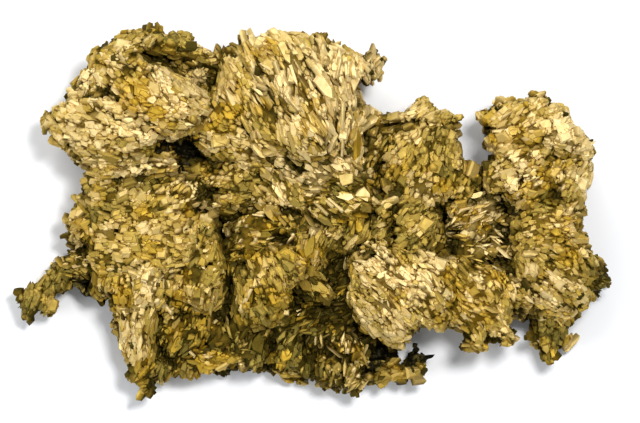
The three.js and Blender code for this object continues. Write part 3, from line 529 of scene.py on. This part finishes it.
SHAPES = {
    "chamfered": rings_solid([rectangle(0.9, 0.9, -1), rectangle(1, 1, 0.55), rectangle(0.7, 0.66, 1)]),
    "octahedron": rings_solid([rectangle(0.12, 0.12, -1), rectangle(1, 0.9, 0), rectangle(0.14, 0.1, 1)]),
    "blade": rings_solid([rectangle(0.85, 0.8, -1), rectangle(1, 1, 0.1), rectangle(0.82, 0.1, 1)]),
    "hopper": rings_solid([
        rectangle(0.95, 0.95, -1), rectangle(1, 1, 1), rectangle(0.74, 0.74, 0.92), rectangle(0.7, 0.7, 0.45),
        rectangle(0.46, 0.46, 0.4), rectangle(0.42, 0.42, -0.1),
    ]),
}

# The shapes that keep one outline: it, the height of their shoulder, their reach at the foot and at the crown
ROUND_SHAPES = {
    "grain": (GRAIN_OUTLINE, 0.5, 0.9, 0.72),
    "nugget": (GRAIN_OUTLINE, 0.4, 0.9, 0.6),
    "rod": (ROD_OUTLINE, 0.4, 0.9, 0.66),
    "plate": (LEAF_OUTLINE, 0.2, 0.85, 0.86),
}
for name, (outline, shoulder, foot, crown) in ROUND_SHAPES.items():
    levels = ((-1, foot), (shoulder, 1), (1, crown))
    SHAPES[name] = rings_solid([polygon(outline, height, reach) for height, reach in levels])

# How uneven each shape's corners are, and which shapes have rounded edges
WOBBLE = {
    "grain": 0.36, "nugget": 0.3, "rod": 0.3, "plate": 0.3, "chamfered": 0.3, "blade": 0.2, "octahedron": 0.1,
    "hopper": 0.06,
}
ROUNDED = ("nugget",)


def grown_crystals(shape, places, frames, sizes, rng):
    """Copies of a crystal shape, each at its place, in its frame, at its size and with uneven corners."""
    corners, faces, depth, sides = SHAPES[shape]
    count = len(places)
    local = corners[None] + rng.uniform(-0.06, 0.06, (count, len(corners), 3))
    outline = rng.uniform(-WOBBLE[shape], WOBBLE[shape], (count, sides, 2))
    local[:, :, :2] += np.tile(outline, (1, len(corners) // sides, 1))
    local = local * sizes[:, None, :] / 2
    points = places[:, None, :] + np.einsum("nij,nvj->nvi", frames, local)
    shifts = (np.arange(count) * len(corners))[:, None, None]
    return points.reshape(-1, 3), (faces[None] + shifts).reshape(-1, 3), np.tile(depth, count)


# ---- the cores ----

def fetched(items, key, kind=float):
    """A triple of numbers of each of a mesh's vertices or triangles."""
    values = np.empty(len(items) * 3, kind)
    items.foreach_get(key, values)
    return values.reshape(-1, 3)


def surface(mesh):
    """A mesh's vertices and triangles."""
    mesh.calc_loop_triangles()
    return fetched(mesh.vertices, "co") / MM, fetched(mesh.loop_triangles, "vertices", np.int64)


def remeshed(node):
    """A CAD unit's surface as an even, fine mesh with softened edges: its vertices, their normals and its
    triangles."""
    copy = bpy.data.objects.new("remesh", frame["nodes"][node].data.copy())
    bpy.context.scene.collection.objects.link(copy)
    remesh = copy.modifiers.new("remesh", "REMESH")
    remesh.mode = "VOXEL"
    remesh.voxel_size = CORE_GRAIN * MM
    copy.modifiers.new("soften", "SMOOTH").iterations = 2
    made = copy.evaluated_get(bpy.context.evaluated_depsgraph_get()).to_mesh()
    points, faces = surface(made)
    normals = fetched(made.vertices, "normal")
    mesh = copy.data
    bpy.data.objects.remove(copy)
    bpy.data.meshes.remove(mesh)
    return points, normals, faces


def eased(values, faces, rounds):
    """Values on a mesh's vertices, each drawn halfway to its neighbours' mean that many times."""
    ends = np.concatenate([faces[:, [0, 1]], faces[:, [1, 2]], faces[:, [2, 0]]])
    count = np.maximum(np.bincount(ends[:, 0], minlength=len(values)), 1)
    for _ in range(rounds):
        values = (values + np.bincount(ends[:, 0], values[ends[:, 1]], len(values)) / count) / 2
    return values


def fitted(points, normals, faces, tree):
    """A core's points, with its sides grown into the seams and drawn in along the specimen's outline."""
    shift = np.zeros(len(points))
    flat = unit_vectors(normals * (1, 1, 0))
    for i in np.flatnonzero(np.abs(normals[:, 2]) < 0.85):
        start = Vector(points[i] + 0.3 * flat[i])
        beyond = points[i] + OUTLINE_REACH * flat[i]
        if tree.ray_cast(start, Vector(flat[i]), SEAM_REACH)[0] is not None:
            shift[i] = SEAM_FILL
        elif tree.ray_cast(Vector((beyond[0], beyond[1], SKY)), DOWN)[0] is None:
            shift[i] = -OPEN_INSET
        else:
            shift[i] = STEP_FILL
    return points + flat * eased(shift, faces, 2)[:, None]


def cracks(places, node):
    """1 along the winding cracks that part a unit's faces into clumps of grains, falling to 0 beside them.
    They are drawn out along the grain."""
    habit, bearing, _tone = UNITS[node]
    local = places @ grain_axes(bearing) / habit.cell
    share = np.zeros(len(places))
    for size, seed, strength in CRACK_NOISE:
        way = smooth_noise(local, size, seed) / habit.cracks
        share = np.maximum(share, np.exp(-(way**2)) * strength)
    return share


def core_of(node, tree, seed):
    """A unit's core: its remeshed surface, broken into tilted crystal facets in three sizes."""
    habit, bearing, _tone = UNITS[node]
    points, normals, faces = remeshed(node)
    points = fitted(points, normals, faces, tree)
    axes = grain_axes(bearing)
    rise = 0.35 * smooth_noise(points, 2.6, seed)
    for scale, share in FACET_SCALES:
        cell = [scale * side for side in habit.cell]
        away, numbers = lattice(points, axes, cell, seed + int(10 * scale), habit.square)
        slope = (numbers[:, :3] * 2 - 1) * habit.tilt
        across = away - normals * (away * normals).sum(1, keepdims=True)
        rise += share * (across * (slope @ axes.T)).sum(1)
        rise += share * scale * habit.step * (numbers[:, 3] - 0.5) * 0.6
    rise -= CRACK_DEPTH * cracks(points, node)
    moved = points + normals * np.clip(rise, *RISE_LIMITS)[:, None]
    return moved, normals, faces


def joined_tree(surfaces):
    """One search tree over several surfaces, each its points and triangles."""
    starts = np.cumsum([0] + [len(points) for points, _faces in surfaces])
    points = np.concatenate([points for points, _faces in surfaces])
    faces = np.concatenate([faces + start for (_points, faces), start in zip(surfaces, starts)])
    return BVHTree.FromPolygons(points.tolist(), faces.tolist())


def blurred(field, cells):
    """A field's running mean over a square of that many cells each way, taken three times."""
    for _ in range(3):
        for axis in (0, 1):
            padded = np.concatenate([np.zeros_like(np.take(field, [0], axis)), np.cumsum(field, axis)], axis)
            size = field.shape[axis]
            high = np.minimum(np.arange(size) + cells + 1, size)
            low = np.maximum(np.arange(size) - cells, 0)
            field = np.take(padded, high, axis) - np.take(padded, low, axis)
            field = field / (2 * cells + 1)
    return field


def widest(field, cells):
    """A field's running maximum over a square of that many cells each way."""
    for axis in (0, 1):
        shifted = [np.roll(field, offset, axis) for offset in range(-cells, cells + 1)]
        field = np.max(shifted, axis=0)
    return field


def land_height(cores):
    """The specimen's smoothed height over the plan, with its narrow dips closed, as a function of points."""
    points = np.concatenate([points for points, _normals, _faces in cores.values()])
    low = points[:, :2].min(0) - 2
    shape = np.ceil((points[:, :2].max(0) + 2 - low) / LAND_CELL).astype(int)
    height = np.zeros(shape)
    index = ((points[:, :2] - low) / LAND_CELL).astype(int)
    np.maximum.at(height, (index[:, 0], index[:, 1]), points[:, 2])
    height = -widest(-widest(height, LAND_CLOSE), LAND_CLOSE)
    covered = blurred((height > 0).astype(float), LAND_BLUR)
    smooth = blurred(height, LAND_BLUR) / np.maximum(covered, 0.05)

    def at(places):
        cell = tuple(((places[:, :2] - low) / LAND_CELL).astype(int).T)
        return smooth[cell], covered[cell]

    return at


UNIT_BOXES = {node: [np.array(corner)[:2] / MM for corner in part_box(node)] for node in UNITS}


def spot(node, share):
    """The point in plan at a share of a unit's box."""
    low, high = UNIT_BOXES[node]
    return low + (high - low) * np.array(share)


def segment_distance(places, start, end):
    """How far each place in plan is from a straight line between two points."""
    way = np.subtract(end, start)
    share = np.clip((places - start) @ way / max(way @ way, 1e-9), 0, 1)
    return np.linalg.norm(places - start - share[:, None] * way, axis=1)


def crease_share(places, points, width):
    """1 on a crease's line, falling to 0 over its width."""
    pairs = zip(points, points[1:])
    distance = np.min([segment_distance(places, start, end) for start, end in pairs], axis=0)
    return np.exp(-((distance / width) ** 2))


def patch_share(places, middle, along, across, bearing):
    """1 in the middle of an oval patch, falling to 0 past its edge."""
    turn = math.radians(bearing)
    east, north = (places[:, :2] - middle).T
    u = (east * math.cos(turn) + north * math.sin(turn)) / along
    v = (north * math.cos(turn) - east * math.sin(turn)) / across
    return 1 / (1 + np.exp(6 * np.minimum(np.hypot(u, v) - 1, 99)))


def creases(places):
    """Each crease's share at the places, its height and its tone."""
    for node, listed in CREASES.items():
        for line, width, height, shift in listed:
            yield crease_share(places, [spot(node, share) for share in line], width), height, shift


def patches(table, places):
    """Each oval patch's share at the places, and what follows its shape in the table."""
    for node, listed in table.items():
        for middle, along, across, bearing, *rest in listed:
            yield (patch_share(places, spot(node, middle), along, across, bearing), *rest)


def rings():
    """Each ringed hollow's unit, middle in plan, half length, half width and rim."""
    for node, listed in RINGS.items():
        for middle, *shape in listed:
            yield (node, spot(node, middle), *shape)


def relief(places):
    """How far the face rises at places in plan, for its creases, pits, bosses and rings."""
    rise = np.zeros(len(places))
    for share, height, _shift in creases(places):
        rise += height * share
    for share, depth in patches(PITS, places):
        rise -= depth * share
    for share, height in patches(BOSSES, places):
        rise += height * share
    for _node, middle, along, across, rim in rings():
        reach = np.linalg.norm((places - middle) / (along, across), axis=1)
        rise += rim * np.exp(-(((reach - 1) / 0.3) ** 2)) - 1.6 * rim * np.exp(-((reach / 0.6) ** 2))
    return rise


def pit_shade_share(places):
    """How much painted shade lies in the pits."""
    return PIT_SHADE * np.max([share for share, _depth in patches(PITS, places)], axis=0)


def colouring(places, tone):
    """The tone and the ochre of places, around a unit's own tone."""
    tones = tone + 0.3 * smooth_noise(places, 1.7, SEED) + 0.3 * smooth_noise(places, 0.8, SEED + 1)
    ochre = 0.35 + 0.8 * smooth_noise(places, 2.1, SEED + 2) + 0.5 * smooth_noise(places, 0.9, SEED + 4)
    # painted highlight along the raised creases and painted shade along the cracks
    for share, _height, shift in creases(places[:, :2]):
        tones += shift * share
    for share, tone_shift, ochre_shift in patches(TINTS, places):
        tones += tone_shift * share
        ochre += ochre_shift * share
    ochre *= 1.1 - 1.2 * np.abs(tones - 0.5)
    return np.clip(tones, 0, 1), np.clip(ochre, 0, 1)


def settled(node, core, land):
    """A core with its top drawn towards the smoothed height, so that neighbours run together, and then given
    the creases and pits of the whole face. A back sheet rises between the units to close the deepest gaps."""
    points, normals, faces = core
    height, cover = land(points)
    depth = height - points[:, 2]
    if node.startswith("back_sheet"):
        depth = np.where(cover > GAP_COVER, np.minimum(depth, GAP_DEPTH), LAND_END)
    kept = 1 - LAND_FILL
    depths = (-10, 0, LAND_LEVEL, LAND_END, 20)
    level = np.interp(depth, depths, (-10 * kept, 0, LAND_LEVEL * kept, LAND_END, 20))
    marked = np.clip((LAND_END - depth) / (LAND_END - LAND_LEVEL), 0, 1) * relief(points[:, :2])
    raised = np.where(normals[:, 2] > -0.3, height - level + marked, points[:, 2])
    if node.startswith("back_sheet"):
        closing = (cover > GAP_COVER) & (normals[:, 2] > 0.3)
        raised = np.where(closing, np.maximum(raised, points[:, 2]), points[:, 2])
    return np.column_stack([points[:, :2], raised]), normals, faces


def triangle_areas(points, faces):
    a, b, c = (points[faces[:, k]] for k in range(3))
    return np.linalg.norm(np.cross(b - a, c - a), axis=1) / 2


def spots(core, count, rng):
    """Random spots on a core, spread evenly over its area, and the normals there."""
    points, normals, faces = core
    areas = triangle_areas(points, faces)
    picked = faces[rng.choice(len(faces), count, p=areas / areas.sum())]
    shares = rng.dirichlet((1, 1, 1), count)[:, :, None]
    return (points[picked] * shares).sum(1), unit_vectors((normals[picked] * shares).sum(1))


def open_spots(places, normals, tree):
    """Which spots look out into the open, and not into another unit or the seam beside it."""
    clear = np.ones(len(places), bool)
    for i, (place, normal) in enumerate(zip(places.tolist(), normals.tolist())):
        way = Vector(normal)
        start = Vector(place) + CLEAR_START * way
        roof = tree.ray_cast(start, UP)
        inside = roof[0] is not None and roof[1].z > 0
        clear[i] = not inside and tree.ray_cast(start, way, CLEAR_REACH)[0] is None
    return clear


def crystal_frames(places, normals, bearing, lean, rng):
    """Frames that stand between the face's normal and the unit's own axes, each leaning a little its own way.
    The grain swirls about its bearing from place to place."""
    count = len(normals)
    outward = unit_vectors(normals + (0, 0, 0.7) * np.clip(normals[:, 2:], 0, 1))
    outward = unit_vectors(outward + lean * rng.normal(0, 0.45, (count, 3)))
    turn = np.radians(bearing + SWIRL * smooth_noise(places, 2.4, SEED + 3))
    along = np.column_stack([np.cos(turn), np.sin(turn), np.zeros(count)])
    along = along + 0.35 * lean * rng.normal(0, 1, (count, 3))
    along = unit_vectors(along - outward * (along * outward).sum(1, keepdims=True))
    across = np.cross(outward, along)
    return np.stack([along, across, outward], axis=2)


def batch_of(shape, places, frames, sizes, colours, painted_shade, rng):
    """Crystals of one shape, as points, triangles, each point's tone, ochre and painted shade, and whether
    the shape's edges are rounded."""
    points, faces, depth = grown_crystals(shape, places, frames, sizes, rng)
    each = len(depth) // max(len(places), 1)
    tones, ochre = (np.repeat(values, each) for values in colours)
    # painted shade, deeper towards each crystal's foot than at its crown
    return points, faces, tones, ochre, np.repeat(painted_shade, each) + FOOT_SHADE * depth, shape in ROUNDED


def crystals_of(node, core, tree, rng):
    """The crystals that crowd a unit's open faces."""
    habit, bearing, tone = UNITS[node]
    area = triangle_areas(core[0], core[2]).sum()
    batches = []
    for shape, density, length, width, height, lean, proud in habit.crystals:
        places, normals = spots(core, int(area * density), rng)
        crack = cracks(places, node)
        clear = (crack < rng.uniform(0.5, 1, len(crack))) & open_spots(places, normals, tree)
        places, normals = places[clear], normals[clear]
        # painted shade from how enclosed a crystal is, beside a crack and in a pit
        painted_shade = shelter(places, normals, tree) + CRACK_SHADE * crack[clear] + pit_shade_share(places)
        count = len(places)
        # a share of the slender crystals keeps less painted shade
        if shape in SLENDER:
            painted_shade = np.where(rng.random(count) < CLEAN_SHARE, CLEAN_SHADE * painted_shade, painted_shade)
        whole = np.clip(rng.normal(0, SIZE_SPREAD, (count, 1)), *SIZE_LIMITS)
        sizes = np.array([length, width, height]) * np.exp(whole + rng.normal(0, SIDE_SPREAD, (count, 3)))
        frames = crystal_frames(places, normals, bearing, lean, rng)
        places = places + frames[:, :, 2] * sizes[:, 2:] * (proud - 0.5)
        colours = colouring(places, tone + rng.normal(0, habit.spread, count))
        batches.append(batch_of(shape, places, frames, sizes, colours, painted_shade, rng))
    return batches


def rim_crystals():
    """The rods that stand end to end around each ringed hollow, as standing-out crystals."""
    for node, middle, along, across, rim in rings():
        for turn in np.linspace(0, 2 * math.pi, RIM_RODS, endpoint=False):
            place = middle + (along * math.cos(turn), across * math.sin(turn))
            bearing = math.degrees(math.atan2(across * math.cos(turn), -along * math.sin(turn)))
            length = 1.3 * math.pi * (along + across) / RIM_RODS
            yield node, "rod", place, length, RIM_WIDTH, bearing, (0, 0), 0.3 * rim, RIM_TONE


def standout_crystals(tree, rng):
    """The large crystals that stand out on the broad face, and those that make up its rings, by the unit that
    each belongs to."""
    grown = {node: [] for node in UNITS}
    placed = [(node, shape, spot(node, share), *rest)
              for node, listed in STANDOUTS.items() for shape, share, *rest in listed]
    for node, shape, (x, y), length, width, bearing, tips, proud, tone in [*placed, *rim_crystals()]:
        ground = tree.ray_cast(Vector((x, y, SKY)), DOWN)[0][2]
        tip = Matrix.Rotation(math.radians(tips[0]), 3, "X") @ Matrix.Rotation(math.radians(tips[1]), 3, "Y")
        frames = (grain_axes(bearing) @ np.array(tip))[None]
        sizes = np.array([[length, width, max(0.3, 0.4 * width)]])
        place = np.array([[x, y, ground + proud]])
        colours = np.array([[tone], [0.0]])
        # a little painted shade on each crystal that stands out
        painted_shade = np.array([STANDOUT_SHADE])
        grown[node].append(batch_of(shape, place, frames, sizes, colours, painted_shade, rng))
    return grown


# ---- the pieces ----

def shelter(points, normals, tree):
    """How enclosed each point is, from 0 in the open to 1 deep in a crevice. It sets the painted shade."""
    blocked = np.zeros(len(points))
    side = unit_vectors(np.cross(normals, [0.3, 0.5, 0.81]))
    other = np.cross(normals, side)
    ways = [(0, 0, 1), (0.8, 0, 0.6), (-0.8, 0, 0.6), (0, 0.8, 0.6), (0, -0.8, 0.6)]
    starts = (points + 0.25 * normals).tolist()
    for s, o, n in ways:
        rays = s * side + o * other + n * normals
        for i, (start, ray) in enumerate(zip(starts, rays.tolist())):
            hit = tree.ray_cast(start, ray, SHELTER_REACH)
            if hit[0] is not None:
                blocked[i] += 1 - 0.5 * hit[3] / SHELTER_REACH
    return blocked / len(ways)


def mesh_of(name, points, faces, attributes, smooth):
    mesh = bpy.data.meshes.new(name)
    mesh.vertices.add(len(points))
    mesh.vertices.foreach_set("co", (points * MM).astype(np.float32).ravel())
    mesh.loops.add(len(faces) * 3)
    mesh.loops.foreach_set("vertex_index", faces.astype(np.int32).ravel())
    mesh.polygons.add(len(faces))
    mesh.polygons.foreach_set("loop_start", np.arange(0, len(faces) * 3, 3, dtype=np.int32))
    for key, values in attributes.items():
        mesh.attributes.new(key, "FLOAT", "POINT").data.foreach_set("value", values.astype(np.float32))
    mesh.update(calc_edges=True)
    mesh.polygons.foreach_set("use_smooth", smooth)
    return mesh


def piece_of(node, core, painted_shade, batches, material):
    """A unit's core and crystals as one object that stands for its CAD solid."""
    points, _normals, faces = core
    # the core gets a lower tone and more painted shade, so that it shows darker between the crystals
    colours = colouring(points, UNITS[node][2] - CORE_SHADE_TONE)
    layers = [(points, faces, *colours, painted_shade + CORE_SHADE, True), *batches]
    starts = np.cumsum([0] + [len(layer[0]) for layer in layers])
    joined = np.concatenate([layer[0] for layer in layers])
    joined[:, 2] = np.maximum(joined[:, 2], FLOOR_GAP)
    joined_faces = np.concatenate([layer[1] + start for layer, start in zip(layers, starts)])
    names = enumerate(("tone", "ochre", "painted_shade"), 2)
    attributes = {name: np.concatenate([layer[k] for layer in layers]) for k, name in names}
    smooth = np.concatenate([np.full(len(layer[1]), layer[5]) for layer in layers])
    mesh = mesh_of(node + "_crystals", joined, joined_faces, attributes, smooth)
    mesh.materials.append(material)
    piece = bpy.data.objects.new(node + "_crystals", mesh)
    bpy.context.scene.collection.objects.link(piece)
    return piece


# ---- the materials ----

def node_material(name):
    """A new material, its node tree and its shader."""
    material = bpy.data.materials.new(name)
    material.use_nodes = True
    return material, material.node_tree, material.node_tree.nodes["Principled BSDF"]


def attribute(tree, name):
    """The value of one of the mesh's attributes."""
    node = tree.nodes.new("ShaderNodeAttribute")
    node.attribute_name = name
    return node.outputs["Fac"]


def ranged(tree, value, limits, results):
    """A value taken from the range between its limits to that between the results."""
    node = tree.nodes.new("ShaderNodeMapRange")
    for socket, number in zip(("From Min", "From Max", "To Min", "To Max"), (*limits, *results)):
        node.inputs[socket].default_value = number
    tree.links.new(value, node.inputs["Value"])
    return node.outputs["Result"]


def mixed(tree, share, under, colour):
    """The colour laid over what is under it, by a share."""
    node = tree.nodes.new("ShaderNodeMix")
    node.data_type = "RGBA"
    node.inputs["B"].default_value = (*colour, 1)
    tree.links.new(share, node.inputs["Factor"])
    tree.links.new(under, node.inputs["A"])
    return node.outputs["Result"]


def toned(tree, tone, colours):
    """The colour that runs through low, middle and high as the tone goes from 0 to 1."""
    node = tree.nodes.new("ShaderNodeValToRGB")
    low, middle, high = colours
    node.color_ramp.elements[0].color = (*low, 1)
    node.color_ramp.elements[1].color = (*high, 1)
    node.color_ramp.elements.new(0.5).color = (*middle, 1)
    tree.links.new(tone, node.inputs["Fac"])
    return node.outputs["Color"]


def rippled(tree, shader, roughness):
    """Fine growth lines over the faces, in the shader's roughness and its bump."""
    place = tree.nodes.new("ShaderNodeTexCoord")
    grains = tree.nodes.new("ShaderNodeTexNoise")
    grains.inputs["Scale"].default_value = 1800
    grains.inputs["Detail"].default_value = 3
    tree.links.new(place.outputs["Object"], grains.inputs["Vector"])
    rough = ranged(tree, grains.outputs["Fac"], (0.3, 0.7), roughness)
    tree.links.new(rough, shader.inputs["Roughness"])
    bump = tree.nodes.new("ShaderNodeBump")
    bump.inputs["Strength"].default_value = 0.5
    bump.inputs["Distance"].default_value = 0.06 * MM
    tree.links.new(grains.outputs["Fac"], bump.inputs["Height"])
    tree.links.new(bump.outputs["Normal"], shader.inputs["Normal"])


def crystal_material(name, colours, shade_colour, roughness):
    """A metal whose colour follows a crystal's tone, turns to ochre in patches, and grows darker and richer
    and then dark with the painted shade in the recesses."""
    material, tree, shader = node_material(name)
    # edge is the share of painted shade, from 0 in the open to 1 deep in a recess
    edge = ranged(tree, attribute(tree, "painted_shade"), (0.2, 0.9), (0, 1))
    patch = ranged(tree, attribute(tree, "ochre"), (0.3, 1.2), (0, 1))
    clean = mixed(tree, patch, toned(tree, attribute(tree, "tone"), colours), OCHRE)
    # painted shade: the colour grows darker and richer with it, and then turns to the shade colour
    shade_deepened = tree.nodes.new("ShaderNodeGamma")
    tree.links.new(ranged(tree, edge, (0, 1), (1, 1.8)), shade_deepened.inputs["Gamma"])
    tree.links.new(clean, shade_deepened.inputs["Color"])
    tree.links.new(mixed(tree, edge, shade_deepened.outputs["Color"], shade_colour), shader.inputs["Base Color"])
    rippled(tree, shader, roughness)
    shader.inputs["Metallic"].default_value = 1
    return material


OCHRE = (0.50, 0.32, 0.025)
GOLD = ((0.19, 0.145, 0.029), (0.49, 0.35, 0.078), (0.75, 0.60, 0.295))  # olive, rich and pale
# the dark brown of the painted shade on the gold
GOLD_SHADE = (0.068, 0.05, 0.009)
# dark colours of the pieces set in the hollows, and the dark of the painted shade on them
DARK_PIECE_COLOURS = ((0.06, 0.05, 0.018), (0.16, 0.125, 0.035), (0.4, 0.29, 0.08))
DARK_PIECE_SHADE = (0.022, 0.019, 0.009)
golds = ("pale_gold", "rich_gold", "olive_gold")
materials = {slot: crystal_material(slot, GOLD, GOLD_SHADE, (0.6, 0.78)) for slot in golds}
materials["dark_mineral"] = crystal_material("dark_mineral", DARK_PIECE_COLOURS, DARK_PIECE_SHADE, (0.5, 0.75))


# ---- the stage ----

FLOOR_HALF = 0.6
FLOOR_COLOUR = (0.81, 0.81, 0.82, 1)
WORLD_COLOUR, WORLD_STRENGTH = (0.9, 0.95, 1, 1), 0.5
LAMP_DISTANCE = 0.5
# Each softbox's name, bearing in plan, angle from straight above, width, height and power
LAMPS = [
    ("key", 45, 15, 0.08, 0.08, 2.03),
    ("fill", 200, 50, 0.2, 0.2, 0.8),
    ("rim", 110, 62, 0.3, 0.1, 1.2),
]


def pale_floor():
    mesh = bpy.data.meshes.new("floor")
    corners = [(x * FLOOR_HALF, y * FLOOR_HALF, 0) for x, y in ((-1, -1), (1, -1), (1, 1), (-1, 1))]
    mesh.from_pydata(corners, [], [(0, 1, 2, 3)])
    material, _tree, shader = node_material("floor")
    shader.inputs["Base Color"].default_value = FLOOR_COLOUR
    shader.inputs["Roughness"].default_value = 0.9
    shader.inputs["Specular IOR Level"].default_value = 0.0
    mesh.materials.append(material)
    floor = bpy.data.objects.new("floor", mesh)
    bpy.context.scene.collection.objects.link(floor)


def softbox(name, bearing, zenith, width, height, power):
    """An area light that faces the specimen from a bearing in plan and an angle from straight above."""
    light = bpy.data.lights.new(name, "AREA")
    light.shape = "RECTANGLE"
    light.size, light.size_y = width, height
    light.energy = power
    lamp = bpy.data.objects.new(name, light)
    turn, tip = math.radians(bearing), math.radians(zenith)
    way = Vector((math.sin(tip) * math.cos(turn), math.sin(tip) * math.sin(turn), math.cos(tip)))
    lamp.location = way * LAMP_DISTANCE
    lamp.rotation_euler = way.to_track_quat("Z", "Y").to_euler()
    bpy.context.scene.collection.objects.link(lamp)


def studio():
    world = bpy.data.worlds.new("studio")
    world.use_nodes = True
    background = world.node_tree.nodes["Background"]
    background.inputs["Color"].default_value = WORLD_COLOUR
    background.inputs["Strength"].default_value = WORLD_STRENGTH
    bpy.context.scene.world = world
    for lamp in LAMPS:
        softbox(*lamp)
    bpy.context.scene.view_settings.view_transform = "Standard"


IMAGE_WIDTH = 0.064  # what the picture spans across, at the height of the leaves
LOOK_AT = (0.00067, 0.0, 0.006)
LENS, SENSOR = 400, 36


def camera():
    data = bpy.data.cameras.new("camera")
    data.lens, data.sensor_width = LENS, SENSOR
    data.clip_end = 10
    lens = bpy.data.objects.new("camera", data)
    lens.location = (LOOK_AT[0], LOOK_AT[1], LOOK_AT[2] + IMAGE_WIDTH * LENS / SENSOR)
    bpy.context.scene.collection.objects.link(lens)
    bpy.context.scene.camera = lens


# ---- the making ----

cad_tree = joined_tree([surface(frame["nodes"][node].data) for node in UNITS])
cores = {node: core_of(node, cad_tree, SEED + 31 * i) for i, node in enumerate(UNITS)}
land = land_height(cores)
cores = {node: settled(node, core, land) for node, core in cores.items()}
open_tree = joined_tree([(points, faces) for points, _normals, faces in cores.values()])
standouts = standout_crystals(open_tree, np.random.default_rng(SEED))
for i, (node, core) in enumerate(cores.items()):
    rng = np.random.default_rng([SEED, i])
    # painted shade on the core, from how enclosed it is and in the pits
    painted_shade = eased(shelter(core[0], core[1], open_tree), core[2], 2) + pit_shade_share(core[0])
    batches = crystals_of(node, core, open_tree, rng) + standouts[node]
    piece = piece_of(node, core, painted_shade, batches, materials[slots[node]])
    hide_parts(node)
    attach(piece, "root")
pale_floor()
studio()
camera()
